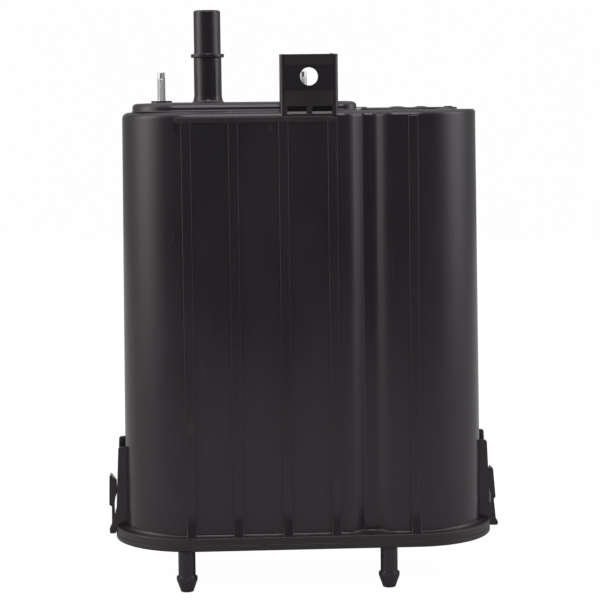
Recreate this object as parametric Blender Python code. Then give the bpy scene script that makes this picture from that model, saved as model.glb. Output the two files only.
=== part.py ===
"""Charcoal canister for a fuel vapour system: two carbon chambers in one welded nylon housing.

Metres, +Z up. The origin is the centre of the cover's flat underside. +X runs along the long side towards
the small chamber, and -Y is the front, with the mounting tab at the top and the locating posts below.
"""
import math

import bmesh
import bpy

# Walls and clearances
GAP = 0.0003
WALL = 0.0028
ROOF = 0.0028

# Plan of cover and housing: straight sides between two half circles
END_CENTRE_X = 0.0652
COVER_END_RADIUS = 0.0476
WALL_FOOT_RADIUS = 0.0418
DRAFT = 0.0098

# Heights of cover, flange and housing
COVER_THICKNESS = 0.0030
FLANGE_HEIGHT = 0.0045
HOUSING_HEIGHT = 0.2536
SHOULDER_ROUND = 0.0038

# Valley between the two chambers, the same at the front and the back
VALLEY_LEFT_X = 0.0234
VALLEY_LEFT_RADIUS = 0.0110
VALLEY_LEFT_SLOPE = 48
VALLEY_RIGHT_X = 0.0498
VALLEY_RIGHT_RADIUS = 0.0105
VALLEY_RIGHT_SLOPE = 50
VALLEY_DEPTH = 0.0058
PARTITION_THICKNESS = 0.0028
PARTITION_FOOT = 0.0090

# Raised platform over the large chamber
PLATFORM_RISE = 0.0051
PLATFORM_INSET = 0.0064
PLATFORM_LEFT_RADIUS = 0.0250
PLATFORM_RIGHT_RADIUS = 0.0090
PLATFORM_RIM_ROUND = 0.0018
PLATFORM_SHORT_OF_CREASE = 0.0014

# Raised honeycomb over the small chamber
HONEYCOMB_RISE = 0.0015
HONEYCOMB_FLOOR = 0.0001
HONEYCOMB_MARGIN = 0.0110
HONEYCOMB_FROM_VALLEY = 0.0064
HONEYCOMB_CELL = 0.0150
HONEYCOMB_WALL = 0.0026
HONEYCOMB_END_ROUNDING = 0.9

# Tank port, a plain tube with a stop bead for a quick connector
PORT_FROM_PLATFORM_END = 0.0445
PORT_TIP_RADIUS = 0.00791
PORT_ROOT_RADIUS = 0.00820
PORT_BEAD_RADIUS = 0.00975
PORT_BORE_RADIUS = 0.00590
PORT_BEAD_HEIGHT = 0.0265
PORT_BEAD_THICKNESS = 0.0023
PORT_HEIGHT = 0.0542
PORT_TIP_CHAMFER = 0.0013
PORT_ROOT_FILLET = 0.0025

# Ports on the back wall, one for each chamber's top space
PURGE_PORT_X = -0.0300
PURGE_PORT_RADIUS = 0.00495
PURGE_BORE_RADIUS = 0.00330
VENT_PORT_X = 0.0700
VENT_PORT_RADIUS = 0.00950
VENT_BORE_RADIUS = 0.00740
BACK_PORT_DROP = 0.0150
BACK_PORT_LENGTH = 0.0240
BACK_PORT_BEAD_RISE = 0.0014
BACK_PORT_BEAD_WIDTH = 0.0024
BACK_PORT_BEAD_SETBACK = 0.0130
BACK_PORT_CHAMFER = 0.0008

# Threaded studs moulded into bosses on the platform
STUD_FROM_PLATFORM_END = 0.0171
STUD_LEFT_OF_TAB_CENTRE = 0.0014
STUD_RADIUS = 0.0025
STUD_NOSE_RADIUS = 0.0021
STUD_NOSE_LENGTH = 0.0035
STUD_LENGTH_OUTSIDE = 0.0168
STUD_LENGTH_INSIDE = 0.0064
STUD_BOSS_RADIUS = 0.00615
STUD_BOSS_RISE = 0.0015
STUD_BOSS_FLOOR = 0.0020

# Mounting tab on the front edge of the housing
TAB_FROM_VALLEY = 0.0195
TAB_WIDTH = 0.0334
TAB_HEIGHT = 0.0321
TAB_THICKNESS = 0.0034
TAB_LEG_LENGTH = 0.0026
TAB_EDGE_WIDTH = 0.0019
TAB_EDGE_PROUD = 0.0005
TAB_HOLE_RADIUS = 0.00515
TAB_HOLE_HEIGHT = 0.0194
TAB_RECESS_LOW = 0.0113
TAB_RECESS_HIGH = 0.0259
TAB_RECESS_DEPTH = 0.0004
TAB_WINDOW_WIDTH = 0.0113
TAB_WINDOW_BOTTOM = -0.0008
TAB_WINDOW_HEIGHT = 0.0034
TAB_WEB_WIDTH = 0.0034

# Ribs and the flat band along the top of the long faces
RIB_XS = (-0.0670, -0.0400, -0.0111, 0.0171, 0.0636)
RIB_WIDTH = 0.0058
RIB_PROUD_TOP = 0.0006
RIB_PROUD_FOOT = 0.0012
RIB_FOOT_HEIGHT = 0.0142
RIB_FLANGE_SETBACK = 0.0002
BAND_LEFT_X = -0.0733
BAND_RIGHT_X = 0.0180
BAND_DROP = 0.0032
BAND_HEIGHT = 0.0034
BAND_PROUD = 0.0006

# Guide rails and snap latches at both ends
RAIL_THICKNESS = 0.0030
RAIL_FOOT_BEYOND_FLANGE = 0.0007
RAIL_FOOT_HEIGHT = 0.0062
RAIL_STEP = 0.0013
RAIL_STEP_HEIGHT = 0.0035
RAIL_LEAN = 0.0017
RAIL_HEIGHT = 0.0474
REAR_RAIL_RISE = 0.0042
RAIL_CHAMFER = 0.0014
LATCH_WIDTH = 0.0080
LATCH_SIDE_GAP = 0.0010
LATCH_GAP = 0.0009
LATCH_ARM_THICKNESS = 0.0015
LATCH_FOOT_DROP = 0.0011
LATCH_FOOT_HEIGHT = 0.0033
LATCH_FOOT_PROUD = 0.0020
LATCH_FOOT_DEPTH = 0.0045
LATCH_ARM_HEIGHT = 0.0164
LATCH_HEAD_PROUD = 0.0014
LATCH_HEAD_INNER = 0.0017
LATCH_HEAD_HEIGHT = 0.0181
LATCH_HEAD_BEVEL = 0.0014
LATCH_TIP_SLOPE = 0.0042

# Locating posts under the front edge of the cover
POST_RADIUS = 0.0050
POST_LENGTH = 0.0241
POST_BARB_RADIUS = 0.0061
POST_BARB_LENGTH = 0.0092
POST_TIP_RADIUS = 0.0034
POST_EDGE_SETBACK = 0.0003
POST_LEFT_BEYOND_END_CENTRE = 0.0051
POST_RIGHT_SHORT_OF_END_CENTRE = 0.0176

# Springs, plates, filters and carbon inside
SPRING_RADIUS = 0.0090
SPRING_WIRE_RADIUS = 0.0008
SPRING_HEIGHT = 0.0164
SPRING_TURNS = 3.0
SPRING_SPACING_X = 0.0640
SPRING_SPACING_Y = 0.0320
VENT_SPRING_SPACING_X = 0.0280
PEG_CLEARANCE = 0.0006
PEG_HEIGHT = 0.0040
PLATE_THICKNESS = 0.0030
FILTER_THICKNESS = 0.0040
TOP_SPACE_HEIGHT = 0.0220
GRID_LEG_SIZE = 0.0040
GRID_LEG_SETBACK = 0.0034
GRID_LEG_XS = (-0.0700, -0.0250, 0.0150)
VENT_GRID_LEG_XS = (0.0520, 0.0880)
SLOT_WIDTH = 0.0080
SLOT_LENGTH = 0.0170
SLOT_PITCH_X = 0.0135
SLOT_PITCH_Y = 0.0215
SLOT_MARGIN = 0.0030

# Facets on round shapes
END_STEPS = 12
CORNER_STEPS = 4
ROUND_STEPS = 3
TUBE_SIDES = 24
POST_SIDES = 20
STUD_SIDES = 16
COIL_SIDES = 6
COIL_STEPS_PER_TURN = 10

# Levels and places that follow from the sizes above
SEAM_Z = COVER_THICKNESS + GAP
FLANGE_TOP_Z = SEAM_Z + FLANGE_HEIGHT
SHOULDER_Z = HOUSING_HEIGHT
PLATFORM_Z = SHOULDER_Z + PLATFORM_RISE
ROOF_Z = SHOULDER_Z - ROOF
PLATFORM_ROOF_Z = PLATFORM_Z - ROOF
CUT = 0.0010
CENTRE_LINE_WIDTH = 0.000001
RIB_LAP_Z = SEAM_Z + FLANGE_HEIGHT / 3

PLATE_Z = SEAM_Z + SPRING_HEIGHT + GAP
LOWER_FILTER_Z = PLATE_Z + PLATE_THICKNESS + GAP
BED_Z = LOWER_FILTER_Z + FILTER_THICKNESS + GAP
GRID_Z = ROOF_Z - TOP_SPACE_HEIGHT - PLATE_THICKNESS
UPPER_FILTER_Z = GRID_Z - GAP - FILTER_THICKNESS
BED_TOP_Z = UPPER_FILTER_Z - GAP

NYLON = ("black_nylon", (0.028, 0.027, 0.028, 1.0), 0.42, 0.0)
ZINC = ("zinc_plated_steel", (0.62, 0.62, 0.60, 1.0), 0.30, 1.0)
SPRING_STEEL = ("spring_steel", (0.34, 0.34, 0.35, 1.0), 0.35, 1.0)
CARBON = ("activated_carbon", (0.012, 0.012, 0.013, 1.0), 0.95, 0.0)
FELT = ("filter_felt", (0.55, 0.56, 0.55, 1.0), 0.95, 0.0)
GREY_PLASTIC = ("plate_plastic", (0.10, 0.10, 0.11, 1.0), 0.50, 0.0)


def wall_radius(z):
    """Half depth of the housing at a height, which shrinks upwards by the draft."""
    return WALL_FOOT_RADIUS - DRAFT * (z - FLANGE_TOP_Z)


def arc(centre, radius, start, end, steps):
    """Points on a circle from one angle to another, in degrees."""
    angles = [math.radians(start + (end - start) * k / steps) for k in range(steps + 1)]
    return [(centre[0] + radius * math.cos(a), centre[1] + radius * math.sin(a)) for a in angles]


def with_back(front):
    """Closes a front outline, given from left to right, with its mirror image at the back."""
    back = [(x, -y) for x, y in reversed(front)]
    return front + [point for point in back if abs(point[1]) > CENTRE_LINE_WIDTH]


def stadium_plan(radius):
    """Outline of cover and flange."""
    left = arc((-END_CENTRE_X, 0), radius, 180, 270, END_STEPS)
    return with_back(left + arc((END_CENTRE_X, 0), radius, 270, 360, END_STEPS))


def valley_side(z, inset, corner_x, corner_radius, slope, side):
    """Round corner and straight slope on one side of a valley, from the long face to the valley's floor."""
    radius = wall_radius(z)
    line = arc((corner_x, corner_radius - radius), corner_radius - inset, 270, 270 - side * slope, CORNER_STEPS)
    x, y = line[-1]
    floor_y = VALLEY_DEPTH - radius + inset
    return line + [(x - side * (floor_y - y) / math.tan(math.radians(slope)), floor_y)]


def large_chamber_front(z, inset):
    """Front line of the large chamber, from its left end down the valley's left side."""
    end = arc((-END_CENTRE_X, 0), wall_radius(z) - inset, 180, 270, END_STEPS)
    return end + valley_side(z, inset, VALLEY_LEFT_X, VALLEY_LEFT_RADIUS, VALLEY_LEFT_SLOPE, -1)


def small_chamber_front(z, inset):
    """Front line of the small chamber, from the valley's floor to its right end."""
    side = valley_side(z, inset, VALLEY_RIGHT_X, VALLEY_RIGHT_RADIUS, VALLEY_RIGHT_SLOPE, 1)
    return side[::-1] + arc((END_CENTRE_X, 0), wall_radius(z) - inset, 270, 360, END_STEPS)


def housing_plan(z, inset):
    """Outline of the whole housing at a height, with both valleys."""
    return with_back(large_chamber_front(z, inset) + small_chamber_front(z, inset))


def valley_crease_x():
    """Where the valley's left side meets its floor."""
    return large_chamber_front(SHOULDER_Z, 0.0)[-1][0]


PARTITION_X = (valley_crease_x() + small_chamber_front(SHOULDER_Z, 0.0)[0][0]) / 2


def large_space_plan(z, clearance):
    """Outline inside the large chamber, less a clearance."""
    inset = WALL + clearance
    front = large_chamber_front(z, inset)
    partition_side = PARTITION_X - PARTITION_THICKNESS / 2 - clearance
    return with_back(front + [(partition_side, VALLEY_DEPTH - wall_radius(z) + inset)])


def small_space_plan(z, clearance):
    """Outline inside the small chamber, less a clearance."""
    inset = WALL + clearance
    partition_side = PARTITION_X + PARTITION_THICKNESS / 2 + clearance
    start = [(partition_side, VALLEY_DEPTH - wall_radius(z) + inset)]
    return with_back(start + small_chamber_front(z, inset))


PLATFORM_LEFT_X = PLATFORM_INSET - END_CENTRE_X - wall_radius(SHOULDER_Z)
PLATFORM_RIGHT_X = valley_crease_x() - PLATFORM_SHORT_OF_CREASE
PLATFORM_HALF_DEPTH = wall_radius(SHOULDER_Z) - PLATFORM_INSET


def rounded_front(left_x, right_x, half_depth, left_radius, right_radius):
    """Front line of a block with round corners of two sizes."""
    left_centre = (left_x + left_radius, left_radius - half_depth)
    right_centre = (right_x - right_radius, right_radius - half_depth)
    left = arc(left_centre, left_radius, 180, 270, END_STEPS // 2)
    return left + arc(right_centre, right_radius, 270, 360, END_STEPS // 2)


def platform_plan(inset):
    """Outline of the raised platform, less an inset."""
    front = rounded_front(PLATFORM_LEFT_X + inset, PLATFORM_RIGHT_X - inset, PLATFORM_HALF_DEPTH - inset,
                          PLATFORM_LEFT_RADIUS - inset, PLATFORM_RIGHT_RADIUS - inset)
    return with_back(front)


PORT_X = PLATFORM_LEFT_X + PORT_FROM_PLATFORM_END
TAB_X = VALLEY_LEFT_X - TAB_FROM_VALLEY
TAB_FRONT_Y = -wall_radius(SHOULDER_Z)
TAB_TOP_Z = SHOULDER_Z + TAB_HEIGHT
STUD_XS = {"tank_side_stud": PLATFORM_LEFT_X + STUD_FROM_PLATFORM_END,
           "tab_side_stud": TAB_X - STUD_LEFT_OF_TAB_CENTRE}
POST_Y = POST_RADIUS + POST_EDGE_SETBACK - COVER_END_RADIUS
POST_XS = (-END_CENTRE_X - POST_LEFT_BEYOND_END_CENTRE, END_CENTRE_X - POST_RIGHT_SHORT_OF_END_CENTRE)


def clear_scene():
    for old in list(bpy.data.objects):
        bpy.data.objects.remove(old, do_unlink=True)


def add_mesh(name, vertices, faces):
    """A linked object from points and faces, with its faces turned outwards."""
    mesh = bpy.data.meshes.new(name)
    mesh.from_pydata(vertices, [], faces)
    shape = bmesh.new()
    shape.from_mesh(mesh)
    bmesh.ops.recalc_face_normals(shape, faces=shape.faces)
    shape.to_mesh(mesh)
    shape.free()
    solid = bpy.data.objects.new(name, mesh)
    bpy.context.collection.objects.link(solid)
    return solid


def loft(name, rings):
    """A closed solid through rings of equal length, capped at both ends."""
    count = len(rings[0])
    vertices = [point for ring in rings for point in ring]
    faces = [list(range(count)), list(range(len(vertices) - count, len(vertices)))]
    for level in range(len(rings) - 1):
        low = level * count
        for k in range(count):
            after = (k + 1) % count
            faces.append((low + k, low + after, low + count + after, low + count + k))
    return add_mesh(name, vertices, faces)


def at_height(plan, z):
    return [(x, y, z) for x, y in plan]


def upright(name, plan, low, high):
    """A prism along Z."""
    return loft(name, [at_height(plan, low), at_height(plan, high)])


def across(name, outline, left, right):
    """A prism along X, from an outline in Y and Z."""
    return loft(name, [[(x, y, z) for y, z in outline] for x in (left, right)])


def through(name, outline, front, back):
    """A prism along Y, from an outline in X and Z."""
    return loft(name, [[(x, y, z) for x, z in outline] for y in (front, back)])


def box(name, left, right, front, back, low, high):
    return upright(name, [(left, front), (right, front), (right, back), (left, back)], low, high)


def boxes(name, limits):
    """Several separate boxes as one mesh, for one cut."""
    vertices = []
    faces = []
    for left, right, front, back, low, high in limits:
        first = len(vertices)
        vertices += [(x, y, z) for z in (low, high)
                     for x, y in ((left, front), (right, front), (right, back), (left, back))]
        sides = [(0, 1, 2, 3), (4, 5, 6, 7), (0, 1, 5, 4), (1, 2, 6, 5), (2, 3, 7, 6), (3, 0, 4, 7)]
        faces += [tuple(first + corner for corner in side) for side in sides]
    return add_mesh(name, vertices, faces)


def turned(name, centre, profile, sides):
    """A solid of revolution about a vertical axis, from (radius, z) pairs."""
    return loft(name, [at_height(arc(centre, radius, 0, 360, sides)[:-1], z) for radius, z in profile])


def turned_along_y(name, centre_x, centre_z, profile, sides):
    """A solid of revolution about an axis along Y, from (radius, y) pairs."""
    rings = []
    for radius, y in profile:
        rings.append([(x, y, z) for x, z in arc((centre_x, centre_z), radius, 0, 360, sides)[:-1]])
    return loft(name, rings)


def combine(target, tools, operation):
    """Adds or takes away other solids and removes them."""
    for tool in tools:
        step = target.modifiers.new(operation, 'BOOLEAN')
        step.operation = operation
        step.solver = 'EXACT'
        step.object = tool
        evaluated = target.evaluated_get(bpy.context.evaluated_depsgraph_get())
        result = bpy.data.meshes.new_from_object(evaluated)
        target.modifiers.clear()
        target.data = result
        bpy.data.objects.remove(tool, do_unlink=True)
    return target


def add(target, *tools):
    return combine(target, tools, 'UNION')


def cut(target, *tools):
    return combine(target, tools, 'DIFFERENCE')


def finish(solid, look, smooth=True):
    """Gives a piece its material and shades it, with sharp edges kept."""
    name, colour, roughness, metallic = look
    material = bpy.data.materials.get(name)
    if material is None:
        material = bpy.data.materials.new(name)
        material.use_nodes = True
        shader = material.node_tree.nodes["Principled BSDF"]
        shader.inputs["Base Color"].default_value = colour
        shader.inputs["Roughness"].default_value = roughness
        shader.inputs["Metallic"].default_value = metallic
    solid.data.materials.clear()
    solid.data.materials.append(material)
    if smooth:
        solid.data.shade_smooth()
        solid.data.set_sharp_from_angle(angle=math.radians(35))
    return solid


def rounding(size, steps):
    """Inset and drop below the top for each ring of a rounded upper edge."""
    turns = [math.pi / 2 * k / steps for k in range(steps + 1)]
    return [(size * (1 - math.cos(t)), size * (1 - math.sin(t))) for t in turns]


def housing_shell():
    """Outer walls with the rounded shoulder, before anything is cut out."""
    rings = [at_height(housing_plan(SEAM_Z + FLANGE_HEIGHT / 2, 0.0), SEAM_Z + FLANGE_HEIGHT / 2)]
    for inset, drop in rounding(SHOULDER_ROUND, ROUND_STEPS + 1):
        z = SHOULDER_Z - drop
        rings.append(at_height(housing_plan(z, inset), z))
    return loft("canister_body", rings)


def platform():
    rings = [at_height(platform_plan(0.0), ROOF_Z + ROOF / 2)]
    for inset, drop in rounding(PLATFORM_RIM_ROUND, ROUND_STEPS):
        rings.append(at_height(platform_plan(inset), PLATFORM_Z - drop))
    return loft("platform", rings)


def honeycomb():
    """Low open cells moulded on the roof of the small chamber."""
    left = PLATFORM_RIGHT_X + HONEYCOMB_WALL
    right = END_CENTRE_X + wall_radius(SHOULDER_Z) - HONEYCOMB_MARGIN
    half_depth = wall_radius(SHOULDER_Z) - VALLEY_DEPTH - HONEYCOMB_FROM_VALLEY
    end_radius = half_depth * HONEYCOMB_END_ROUNDING
    plan = with_back(rounded_front(left, right, half_depth, HONEYCOMB_WALL, end_radius))
    pad = upright("honeycomb", plan, ROOF_Z + ROOF / 2, SHOULDER_Z + HONEYCOMB_RISE)
    cell_radius = (HONEYCOMB_CELL - HONEYCOMB_WALL) / math.sqrt(3)
    row_pitch = HONEYCOMB_CELL * math.sqrt(3) / 2
    rows = int(half_depth / row_pitch) + 1
    columns = int((right - left) / HONEYCOMB_CELL) + 2
    low = SHOULDER_Z + HONEYCOMB_FLOOR
    high = SHOULDER_Z + 2 * HONEYCOMB_RISE
    cells = []
    for row in range(-rows, rows + 1):
        shift = HONEYCOMB_CELL / 2 if row % 2 else 0.0
        for column in range(columns):
            centre = (left + shift + column * HONEYCOMB_CELL, row * row_pitch)
            outline = arc(centre, cell_radius, 90, 450, 6)[:-1]
            cells.append(upright("cell", outline, low, high))
    return cut(pad, *cells)


def tank_port():
    """Outside of the port tube with its root fillet and stop bead."""
    profile = [(PORT_ROOT_RADIUS + PORT_ROOT_FILLET, PLATFORM_ROOF_Z + ROOF / 2)]
    for inset, drop in rounding(PORT_ROOT_FILLET, ROUND_STEPS):
        radius = PORT_ROOT_RADIUS + PORT_ROOT_FILLET - (PORT_ROOT_FILLET - drop)
        profile.append((radius, PLATFORM_Z + inset))
    bead_z = PLATFORM_Z + PORT_BEAD_HEIGHT
    bead_top_z = bead_z + PORT_BEAD_THICKNESS
    top_z = PLATFORM_Z + PORT_HEIGHT
    profile += [(PORT_ROOT_RADIUS, bead_z), (PORT_BEAD_RADIUS, bead_z), (PORT_BEAD_RADIUS, bead_top_z)]
    profile += [(PORT_TIP_RADIUS, bead_top_z), (PORT_TIP_RADIUS, top_z - PORT_TIP_CHAMFER)]
    profile += [(PORT_TIP_RADIUS - PORT_TIP_CHAMFER, top_z)]
    return turned("tank_port", (PORT_X, 0), profile, TUBE_SIDES)


def tank_port_bore():
    profile = [(PORT_BORE_RADIUS, PLATFORM_ROOF_Z - CUT), (PORT_BORE_RADIUS, PLATFORM_Z + PORT_HEIGHT + CUT)]
    return turned("tank_port_bore", (PORT_X, 0), profile, TUBE_SIDES)


def back_port(x, radius):
    """A straight beaded tube standing out of the back wall."""
    z = SHOULDER_Z - BACK_PORT_DROP
    tip_y = wall_radius(z) + BACK_PORT_LENGTH
    bead_y = tip_y - BACK_PORT_BEAD_SETBACK
    bead_radius = radius + BACK_PORT_BEAD_RISE
    profile = [(radius, wall_radius(z) - WALL / 2), (radius, bead_y), (bead_radius, bead_y)]
    profile += [(bead_radius, bead_y + BACK_PORT_BEAD_WIDTH), (radius, bead_y + BACK_PORT_BEAD_WIDTH)]
    profile += [(radius, tip_y - BACK_PORT_CHAMFER), (radius - BACK_PORT_CHAMFER, tip_y)]
    return turned_along_y("back_port", x, z, profile, TUBE_SIDES)


def back_port_bore(x, bore_radius):
    z = SHOULDER_Z - BACK_PORT_DROP
    inside_y = wall_radius(z) - WALL - CUT
    profile = [(bore_radius, inside_y), (bore_radius, wall_radius(z) + BACK_PORT_LENGTH + CUT)]
    return turned_along_y("back_port_bore", x, z, profile, TUBE_SIDES)


def stud_boss(x):
    """Boss that holds a stud, above and below the platform's roof."""
    low = PLATFORM_Z + STUD_BOSS_RISE - STUD_LENGTH_INSIDE - GAP - STUD_BOSS_FLOOR
    profile = [(STUD_BOSS_RADIUS, low), (STUD_BOSS_RADIUS, PLATFORM_Z + STUD_BOSS_RISE)]
    return turned("stud_boss", (x, 0), profile, STUD_SIDES)


def stud_hole(x):
    top = PLATFORM_Z + STUD_BOSS_RISE
    profile = [(STUD_RADIUS + GAP, top - STUD_LENGTH_INSIDE - GAP), (STUD_RADIUS + GAP, top + CUT)]
    return turned("stud_hole", (x, 0), profile, STUD_SIDES)


def mounting_tab():
    """Upright tab with a bolt hole, two low windows and a gusset at each side."""
    left = TAB_X - TAB_WIDTH / 2
    right = TAB_X + TAB_WIDTH / 2
    low = SHOULDER_Z - TAB_LEG_LENGTH
    back = TAB_FRONT_Y + TAB_THICKNESS
    plate = box("mounting_tab", left, right, TAB_FRONT_Y, back, low, TAB_TOP_Z)
    windows = []
    sill = SHOULDER_Z + TAB_WINDOW_BOTTOM
    for side in (-1, 1):
        middle = TAB_X + side * (TAB_WEB_WIDTH + TAB_WINDOW_WIDTH) / 2
        windows.append((middle - TAB_WINDOW_WIDTH / 2, middle + TAB_WINDOW_WIDTH / 2,
                        TAB_FRONT_Y - CUT, back + CUT, sill, sill + TAB_WINDOW_HEIGHT))
    recess = (left + 2 * TAB_EDGE_WIDTH, right - TAB_EDGE_WIDTH, TAB_FRONT_Y - CUT,
              TAB_FRONT_Y + TAB_RECESS_DEPTH, SHOULDER_Z + TAB_RECESS_LOW, SHOULDER_Z + TAB_RECESS_HIGH)
    cut(plate, boxes("windows", windows), boxes("recess", [recess]))
    hole = [(TAB_HOLE_RADIUS, TAB_FRONT_Y - CUT), (TAB_HOLE_RADIUS, back + CUT)]
    cut(plate, turned_along_y("bolt_hole", TAB_X, SHOULDER_Z + TAB_HOLE_HEIGHT, hole, TUBE_SIDES))
    front = TAB_FRONT_Y - TAB_EDGE_PROUD
    foot_y = PLATFORM_RIM_ROUND - PLATFORM_HALF_DEPTH + TAB_EDGE_WIDTH
    gusset = [(front, low), (front, TAB_TOP_Z), (back + TAB_EDGE_PROUD, TAB_TOP_Z)]
    gusset += [(foot_y, PLATFORM_Z - CUT / 2), (foot_y, SHOULDER_Z - ROOF / 2), (back, low)]
    for edge in (left, right - TAB_EDGE_WIDTH):
        add(plate, across("gusset", gusset, edge, edge + TAB_EDGE_WIDTH))
    return plate


def rib(x, side):
    """Upright rib on a long face, which runs out over the flange at its foot."""
    top_z = SHOULDER_Z - BAND_DROP - BAND_HEIGHT / 2
    knee_z = FLANGE_TOP_Z + RIB_FOOT_HEIGHT
    inside_y = wall_radius(SEAM_Z) - 2 * WALL
    flange_y = COVER_END_RADIUS - RIB_FLANGE_SETBACK
    outline = [(inside_y, top_z), (wall_radius(top_z) + RIB_PROUD_TOP, top_z)]
    outline += [(wall_radius(knee_z) + RIB_PROUD_FOOT, knee_z), (flange_y, FLANGE_TOP_Z)]
    outline += [(flange_y, RIB_LAP_Z), (inside_y, RIB_LAP_Z)]
    outline = [(side * y, z) for y, z in outline]
    return across("rib", outline, x - RIB_WIDTH / 2, x + RIB_WIDTH / 2)


def band():
    """Flat band under the shoulder of the front face."""
    high = SHOULDER_Z - BAND_DROP
    low = high - BAND_HEIGHT
    front = -wall_radius(low) - BAND_PROUD
    return box("band", BAND_LEFT_X, BAND_RIGHT_X, front, front + WALL, low, high)


def rail(side, face):
    """Upright guide rail beside a latch, with a stepped foot and a chamfered top corner."""
    y = face * (LATCH_WIDTH / 2 + LATCH_SIDE_GAP + RAIL_THICKNESS / 2)
    top = FLANGE_TOP_Z + RAIL_HEIGHT + (REAR_RAIL_RISE if face > 0 else 0.0)
    root = END_CENTRE_X + math.sqrt((wall_radius(FLANGE_TOP_Z) - WALL / 2) ** 2 - y ** 2)
    top_root = END_CENTRE_X + math.sqrt((wall_radius(top) - WALL / 2) ** 2 - y ** 2)
    foot_reach = END_CENTRE_X + COVER_END_RADIUS + RAIL_FOOT_BEYOND_FLANGE
    foot_top = FLANGE_TOP_Z + RAIL_FOOT_HEIGHT
    low = SEAM_Z + FLANGE_HEIGHT / 2
    reach = foot_reach - RAIL_STEP
    top_reach = reach - RAIL_LEAN
    outline = [(root, low), (foot_reach, low), (foot_reach, foot_top), (reach, foot_top + RAIL_STEP_HEIGHT)]
    outline += [(top_reach, top - RAIL_CHAMFER), (top_reach - RAIL_CHAMFER, top), (top_root, top)]
    outline = [(side * x, z) for x, z in outline]
    return through("rail", outline, y - RAIL_THICKNESS / 2, y + RAIL_THICKNESS / 2)


def latch(side):
    """Snap latch that stands on the flange between two rails."""
    edge = END_CENTRE_X + COVER_END_RADIUS
    inner = edge + LATCH_GAP
    outer = inner + LATCH_ARM_THICKNESS
    foot_inner = edge - LATCH_FOOT_DEPTH
    foot_outer = outer + LATCH_FOOT_PROUD
    foot_low = SEAM_Z - LATCH_FOOT_DROP
    foot_top = foot_low + LATCH_FOOT_HEIGHT
    head_low = SEAM_Z + LATCH_ARM_HEIGHT
    head_high = head_low + LATCH_HEAD_HEIGHT
    head_inner = inner - LATCH_HEAD_INNER
    head_outer = outer + LATCH_HEAD_PROUD
    outline = [(foot_inner, SEAM_Z), (edge + GAP, SEAM_Z), (edge + GAP, foot_low), (foot_outer, foot_low)]
    outline += [(foot_outer, foot_top), (outer, foot_top + LATCH_FOOT_PROUD), (outer, head_low)]
    outline += [(head_outer, head_low), (head_outer, head_high - LATCH_HEAD_BEVEL), (outer, head_high)]
    outline += [(head_inner, head_high - LATCH_TIP_SLOPE), (head_inner, head_high - 3 * LATCH_TIP_SLOPE)]
    outline += [(inner, head_high - 4 * LATCH_TIP_SLOPE), (inner, FLANGE_TOP_Z)]
    outline += [(foot_inner, SEAM_Z + FLANGE_HEIGHT / 2)]
    outline = [(side * x, z) for x, z in outline]
    return through("latch", outline, -LATCH_WIDTH / 2, LATCH_WIDTH / 2)


def chamber_space(name, plan):
    """Hollow of one chamber, from below the seam to the roof."""
    low = SEAM_Z - CUT
    return loft(name, [at_height(plan(low, 0.0), low), at_height(plan(ROOF_Z, 0.0), ROOF_Z)])


def passage():
    """Opening under the partition that joins the two chambers."""
    reach = PARTITION_THICKNESS / 2 + CUT
    half_depth = wall_radius(SEAM_Z) - VALLEY_DEPTH - 2 * WALL
    return box("passage", PARTITION_X - reach, PARTITION_X + reach, -half_depth, half_depth,
               SEAM_Z - CUT, SEAM_Z + PARTITION_FOOT)


def canister_body():
    body = housing_shell()
    add(body, upright("flange", stadium_plan(COVER_END_RADIUS), SEAM_Z, FLANGE_TOP_Z))
    for x in RIB_XS:
        add(body, rib(x, -1), rib(x, 1))
    add(body, band())
    for side in (-1, 1):
        add(body, latch(side), rail(side, -1), rail(side, 1))
    cut(body, chamber_space("large_space", large_space_plan), chamber_space("small_space", small_space_plan))
    cut(body, passage())
    add(body, platform(), honeycomb())
    cut(body, upright("platform_hollow", platform_plan(WALL), ROOF_Z - CUT, PLATFORM_ROOF_Z))
    for x in STUD_XS.values():
        add(body, stud_boss(x))
        cut(body, stud_hole(x))
    add(body, tank_port(), mounting_tab())
    cut(body, tank_port_bore())
    add(body, back_port(PURGE_PORT_X, PURGE_PORT_RADIUS), back_port(VENT_PORT_X, VENT_PORT_RADIUS))
    cut(body, back_port_bore(PURGE_PORT_X, PURGE_BORE_RADIUS), back_port_bore(VENT_PORT_X, VENT_BORE_RADIUS))
    return finish(body, NYLON)


def post(x):
    """Barbed locating post below the cover."""
    shoulder_z = POST_BARB_LENGTH - POST_LENGTH
    profile = [(POST_RADIUS, COVER_THICKNESS / 2), (POST_RADIUS, shoulder_z)]
    profile += [(POST_BARB_RADIUS, shoulder_z - (POST_BARB_RADIUS - POST_RADIUS) / 2)]
    profile += [(POST_BARB_RADIUS, shoulder_z - POST_BARB_RADIUS + POST_TIP_RADIUS)]
    profile += [(POST_TIP_RADIUS, -POST_LENGTH)]
    return turned("post", (x, POST_Y), profile, POST_SIDES)


def large_spring_places():
    middle = (PARTITION_X - END_CENTRE_X - wall_radius(SEAM_Z)) / 2
    return [(middle + x * SPRING_SPACING_X / 2, y * SPRING_SPACING_Y / 2) for x in (-1, 1) for y in (-1, 1)]


def small_spring_places():
    middle = (PARTITION_X + END_CENTRE_X + wall_radius(SEAM_Z)) / 2
    return [(middle + x * VENT_SPRING_SPACING_X / 2, 0.0) for x in (-1, 1)]


def peg(place, root_z, tip_z):
    """Short peg that keeps a spring in place."""
    radius = SPRING_RADIUS - 2 * SPRING_WIRE_RADIUS - PEG_CLEARANCE
    return turned("peg", place, [(radius, root_z), (radius, tip_z)], STUD_SIDES)


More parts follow.
